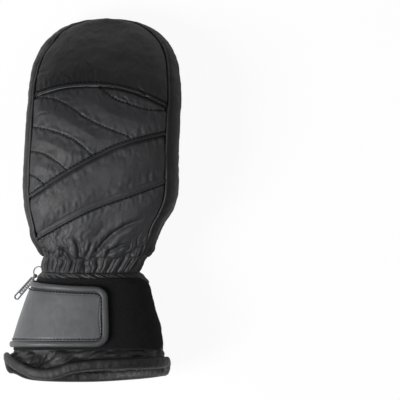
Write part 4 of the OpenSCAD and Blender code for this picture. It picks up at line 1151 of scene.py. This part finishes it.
def thumb_panel(name, node, first, last):
    """One half of the thumb, between two of its seams. Its stitches come back."""
    a = np.linspace(first, last, 110)[:, None]
    bend = thumb_bend(np.linspace(0.02, 1, 80)[None, :], a)
    straight = thumb_flat(np.linspace(0, 0.995, 110)[None, 1:], a)
    p = np.concatenate([bend, straight], 1)
    n = outward(p)
    middle = np.array([THUMB_X, TURN_Y + 5, THUMB_ROOT_Z - THUMB_HALF])
    if ((p - middle) * n).sum(-1).mean() < 0:
        n = -n
    seam = edge_gap(p, p[:1], p[-1:])
    root = np.abs(p[..., 2] - THUMB_ROOT_Z) + 8 * ease((p[..., 1] - TURN_Y + 2) / 6)
    h = -0.9 * bump(seam, 1.1) + 0.35 * bump(seam - 2.0, 0.8) - 0.5 * bump(seam - 3.4, 0.6)
    h += 0.8 * (1 - bump(seam, 9)) + 0.5 * layered(p / 13, 201) + 0.5 * creases(p / [14, 7, 9], 202)
    folds = 1.1 * creases(np.stack([p[..., 0] / 26, p[..., 1] / 6.5, p[..., 2] / 15], -1), 203)
    h += folds * bump(p[..., 1] - TURN_Y + 6, 20)
    h = np.clip(h, -0.8, 1.8)
    under_palm = ease((p[..., 2] - THUMB_ROOT_Z + 9) / 9) * ease((p[..., 1] - TURN_Y + 6) / 6)
    h = lerp(h, np.clip(h, -0.8, 0.0), under_palm)
    h = lerp(h, -0.2, bump(root, 2.0))
    face = raised(p, n, h)
    grid, normals = facing(face, n, 40, 60)
    piece = fit(sheet_piece(name, grid, PALM_LEATHER, normals=normals), "thumb", "leather", node)
    stitches = []
    for row in (9, -10):
        stitches += stitch_parts(face[row, 4:-8], n[row, 4:-8], *THUMB_STITCH)
    return stitches


thumb_stitches = thumb_panel("thumb_outer", "thumb_outer_panel", -90, 90)
thumb_stitches += thumb_panel("thumb_inner", "thumb_inner_panel", 90, 270)
fit(merged("thumb_stitching", thumb_stitches, THREAD), "thumb", "leather")


def palm_height(x, y):
    """z of the palm's skin at x and y."""
    s = section(y)
    q = np.clip(np.abs(x - s[0]) / s[1], 0, 1)
    return s[2] - s[3] * (1 - q ** s[5]) ** (1 / s[5])


a = np.radians(np.arange(360))[:, None]
share = np.linspace(0, 1, 16)[None, :]
x, y = THUMB_X + THUMB_R * np.cos(a), THUMB_Y + THUMB_R * np.sin(a)
top = palm_height(x, y) - 0.5
z = lerp(THUMB_ROOT_Z + 0.35, top, share)
away = np.stack([np.cos(a) + 0 * share, np.sin(a) + 0 * share, 0 * z], -1)
p = np.stack([x + 0 * z, y + 0 * z, z], -1)
pucker = 0.35 * noise(p / [3.0, 3.0, 8], 211) + 0.5 * np.sin(math.pi * share)
collar = sheet_piece("thumb_root", raised(p, away, pucker), PALM_LEATHER, 1.1, True, normals=away)
fit(collar, "shell", "leather", "thumb_collar")
ring = np.concatenate([x + THUMB_R * 0.045 * np.cos(a), y + THUMB_R * 0.045 * np.sin(a), top - 0.5], 1)
fit(tube_piece("thumb_welt", ring, away[:, 0], 0.8, WELT_LEATHER, 10, True), "shell", "leather")

# ---------------------------------------------------------------- zip and pull


def zip_angle_at(y, across, d):
    """The angle that lies a distance across from the zip's middle."""
    per_degree = np.linalg.norm(at(ZIP_ANGLE + 0.5, y, d) - at(ZIP_ANGLE - 0.5, y, d), axis=-1)
    return ZIP_ANGLE + across / per_degree


for side in (-1, 1):
    across = np.linspace(TAPE_INNER, TAPE_OUTER, 26)[:, None]
    y = np.linspace(1.5, CUFF_LENGTH - 0.5, 260)[None, :]
    a = zip_angle_at(y + 0 * across, side * across, LEATHER)
    p = with_rim(at(a, y + 0 * across, LEATHER + 0.3), a, y + 0 * across)
    n = outward(p)
    if (n * (at(a, y + 0 * across, 0) - at(a, y + 0 * across, 3))).sum(-1).mean() < 0:
        n = -n
    twill = 0.05 * np.sin(2 * math.pi * (y / 1.1 + across * 0.7)) + 0.22 * bump(across - 1.0, 0.4)
    grid, normals = facing(raised(p, n, twill), n, 8, 60)
    tape_name, tape_nodes = ("zip_tape_outer", ["zip_tapes"]) if side > 0 else ("zip_tape_inner", [])
    tape = sheet_piece(tape_name, grid, ZIP_TAPE, 0.4, normals=normals)
    fit(tape, "shell", "zip_tape", *tape_nodes)


def own_frame(node):
    """Middle, axes (longest first) and half sizes of a CAD node."""
    p = np.array([v.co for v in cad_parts[node].data.vertices]) / MM
    world = np.array(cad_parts[node].matrix_world)
    p = p @ world[:3, :3].T + world[:3, 3] / MM
    middle = (p.max(0) + p.min(0)) / 2
    _, axes = np.linalg.eigh(np.cov((p - middle).T))
    axes = axes.T[::-1]
    reach = (p - middle) @ axes.T
    return middle + (reach.max(0) + reach.min(0)) / 2 @ axes, axes, (reach.max(0) - reach.min(0)) / 2


def circle(middle, e, f, r, count=72):
    """Points round a circle in the plane of e and f, and the ways outward at them."""
    turn = np.arange(count)[:, None] * 2 * math.pi / count
    away = np.cos(turn) * e + np.sin(turn) * f
    return middle + r * away, away


middle, axes, half = own_frame("pull_ring")
wire = half[2]
path, away = circle(middle, axes[0], axes[1], half[0] - wire)
fit(tube_piece("pull_wire", path, away, wire, GUNMETAL, 14, True), "pull_loop", "gunmetal", "pull_ring")
ring_middle = middle

middle, axes, half = own_frame("pull_tab")
e, g = axes[0], axes[2]
if np.dot(middle - ring_middle, e) < 0:
    e = -e
f = np.cross(g, e)
TAB_END_R, TAB_HALF = 1.9, 1.75
tab_eye = middle - e * (half[0] - TAB_END_R)
tab_end = half[0] * 2 - TAB_END_R


def tab_side(x):
    """The tab's half width at x, a little more towards its free end."""
    return TAB_HALF * lerp(0.85, 1.12, x / tab_end)


def tab_part(path, across, up, sides, loop=False):
    """A bar of the tab, with half sizes across it and up."""
    return tube_mesh(path, np.broadcast_to(across, path.shape), np.broadcast_to(up, path.shape), sides, loop)


root = [(3.2, TAB_HALF * 0.85)]
straight = [(x, tab_side(x)) for x in np.linspace(4, tab_end - 3, 24)]
turn = np.linspace(-math.pi / 2, math.pi / 2, 22)
outline = [(x, -y) for x, y in root + straight]
outline += [(tab_end - 2.6 + TAB_END_R * math.cos(t), 1.96 * math.sin(t)) for t in turn]
outline += (root + straight)[::-1]
loop = spaced(np.array([tab_eye + e * x + f * y for x, y in outline]), 0.35, True)
side, up = tube_frames(loop, np.broadcast_to(g, loop.shape), True)
parts = [tab_part(loop, side * 0.62, up * 0.85, 12, True)]
for k in range(int((tab_end - 10) / 2.1)):
    spot = tab_eye + e * (4.0 + 2.1 * k)
    bar = np.array([spot + f * x for x in (-1.7, -0.6, 0.6, 1.7)])
    side, up = tube_frames(bar, np.broadcast_to(g, bar.shape))
    parts.append(tab_part(bar, side * 0.5, up * 0.95, 10))
web = np.array([tab_eye + e * x for x in np.linspace(2.6, tab_end - 6.6, 12)])
parts.append(tab_part(web, f * 1.7, g * 0.72, 16))
eye, away = circle(tab_eye, e, g, 1.45, 40)
side, up = tube_frames(eye, away, True)
parts.append(tab_part(eye, side * 1.0, up * 0.42, 12, True))
neck = np.array([tab_eye + e * x for x in np.linspace(1.5, 3.6, 6)])
parts.append(tab_part(neck, f * 1.0, g * 0.8, 14))
fit(merged("pull_tab_metal", parts, PALE_METAL), "pull", "gunmetal", "pull_tab")

# ---------------------------------------------------------------- hanging ring and hook


def webbing_loop(name, node, middle, tail, across, wide, eye, thick, width, reach):
    """A folded tape: round the eye and back along its tail."""
    turn = np.radians(np.linspace(-108, 108, 60))
    arc = middle + (np.cos(turn)[:, None] * -tail + np.sin(turn)[:, None] * across) * (eye + thick)
    ends = np.linspace(1, 0, 14)[:-1, None]

    def side_of_tail(way, corner, ends):
        spread = thick + ((corner - middle) @ across * way - thick) * (1 - ends) ** 2
        return middle + tail * (eye * 0.3 + (reach - eye * 0.3) * ends) + across * way * spread

    route = np.concatenate([side_of_tail(-1, arc[0], ends), arc, side_of_tail(1, arc[-1], ends[::-1])])
    route = spaced(route, 0.18)
    normal = unit(np.cross(unit(np.gradient(route, axis=0)), wide))
    if np.dot(normal[len(normal) // 2], route[len(route) // 2] - middle) < 0:
        normal = -normal
    s = np.linspace(-0.5, 0.5, 22)[None, :, None]
    rib = 0.06 * np.cos(s * width * 2 * math.pi / 0.8) - 0.12 * bump(np.abs(s) - 0.5, 0.05)
    p = route[:, None] + wide * s * width + normal[:, None] * rib
    grid, normals = facing(p, np.broadcast_to(normal[:, None], p.shape), 8, 5)
    fit(sheet_piece(name, grid, WEBBING, thick * 0.9, normals=normals), "shell", "webbing", node)


X, Y, Z = np.eye(3)
box_low, box_high = low("ring_loop"), high("ring_loop")
radius = (box_high[2] - box_low[2]) / 2
middle = np.array([box_high[0] - radius, (box_low[1] + box_high[1]) / 2, (box_low[2] + box_high[2]) / 2])
webbing_loop("ring_webbing", "ring_loop", middle, -X, Z, Y, radius - 1.2, 1.2, box_high[1] - box_low[1],
             middle[0] - box_low[0])
box_low, box_high = low("hook_loop"), high("hook_loop")
radius = (box_high[1] - box_low[1]) / 2
middle = np.array([(box_low[0] + box_high[0]) / 2, (box_low[1] + box_high[1]) / 2, box_low[2] + radius])
webbing_loop("hook_webbing", "hook_loop", middle, Z, Y, X, radius - 0.8, 0.8, box_high[0] - box_low[0],
             box_high[2] - middle[2])

for node, finish, width in (("zip_teeth", ZIP_PLASTIC, 0.16), ("zip_stops", ZIP_PLASTIC, 0.2),
                            ("zip_slider", GUNMETAL, 0.2), ("hanging_ring", BLACK_PLASTIC, 0.25),
                            ("clip_hook", BLACK_PLASTIC, 0.35)):
    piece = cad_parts[node]
    piece.data.materials.clear()
    piece.data.materials.append(finish)
    edges = piece.modifiers.new("edges", "BEVEL")
    edges.width = width * MM
    edges.segments = 3
    edges.limit_method = "ANGLE"

# ---------------------------------------------------------------- camera, light and floor

# The camera, the lamps and the floor are placed in metres
VIEW_CENTRE = (0.094, 0.136)
VIEW_WIDTH, VIEW_HEIGHT, SENSOR = 0.328, 2.0, 36.0
camera = bpy.data.objects.new("camera", bpy.data.cameras.new("camera"))
camera.data.sensor_width = SENSOR
camera.data.lens = SENSOR * VIEW_HEIGHT / VIEW_WIDTH
camera.location = (*VIEW_CENTRE, VIEW_HEIGHT)
bpy.context.scene.collection.objects.link(camera)
bpy.context.scene.camera = camera


def area_light(name, place, target, size, power):
    lamp = bpy.data.lights.new(name, "AREA")
    lamp.shape = "DISK"
    lamp.size = size
    lamp.energy = power
    piece = bpy.data.objects.new(name, lamp)
    piece.location = place
    piece.rotation_euler = (Vector(target) - Vector(place)).to_track_quat("-Z", "Y").to_euler()
    bpy.context.scene.collection.objects.link(piece)


area_light("key", (-0.85, -0.25, 0.85), (0.0, 0.12, 0), 0.6, 20.0)
area_light("fill", (0.6, 0.3, 1.2), (0.0, 0.12, 0), 1.0, 2.5)

WORLD_LIGHT, FLOOR_GLOW = 0.24, 0.93
world = bpy.data.worlds.new("studio")
bpy.context.scene.world = world
world.use_nodes = True
nodes, links = world.node_tree.nodes, world.node_tree.links
background = nodes["Background"]
background.inputs["Color"].default_value = (1, 1, 1, 1)
seen = nodes.new("ShaderNodeLightPath").outputs["Is Camera Ray"]
lit = mapped(nodes, links, seen, To_Min=WORLD_LIGHT, To_Max=1.0)
links.new(lit, background.inputs["Strength"])

# The pale floor, mostly plain white where the camera sees it
floor_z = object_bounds()[0][2] - 0.1 * MM
floor = bpy.data.meshes.new("floor")
corners = [(-6, -6, floor_z), (6, -6, floor_z), (6, 6, floor_z), (-6, 6, floor_z)]
floor.from_pydata(corners, [], [(0, 1, 2, 3)])
floor_piece = bpy.data.objects.new("floor", floor)
bpy.context.scene.collection.objects.link(floor_piece)
floor_material, nodes, links, shader = material("floor")
shader.inputs["Base Color"].default_value = (0.9, 0.9, 0.9, 1)
shader.inputs["Roughness"].default_value = 0.9
glow = nodes.new("ShaderNodeEmission")
glow.inputs["Color"].default_value = (1, 1, 1, 1)
mix = nodes.new("ShaderNodeMixShader")
seen = nodes.new("ShaderNodeLightPath").outputs["Is Camera Ray"]
links.new(sums(nodes, links, "MULTIPLY", seen, FLOOR_GLOW), mix.inputs["Fac"])
links.new(shader.outputs["BSDF"], mix.inputs[1])
links.new(glow.outputs["Emission"], mix.inputs[2])
links.new(mix.outputs["Shader"], nodes["Material Output"].inputs["Surface"])
floor.materials.append(floor_material)

bpy.context.scene.view_settings.view_transform = "Standard"
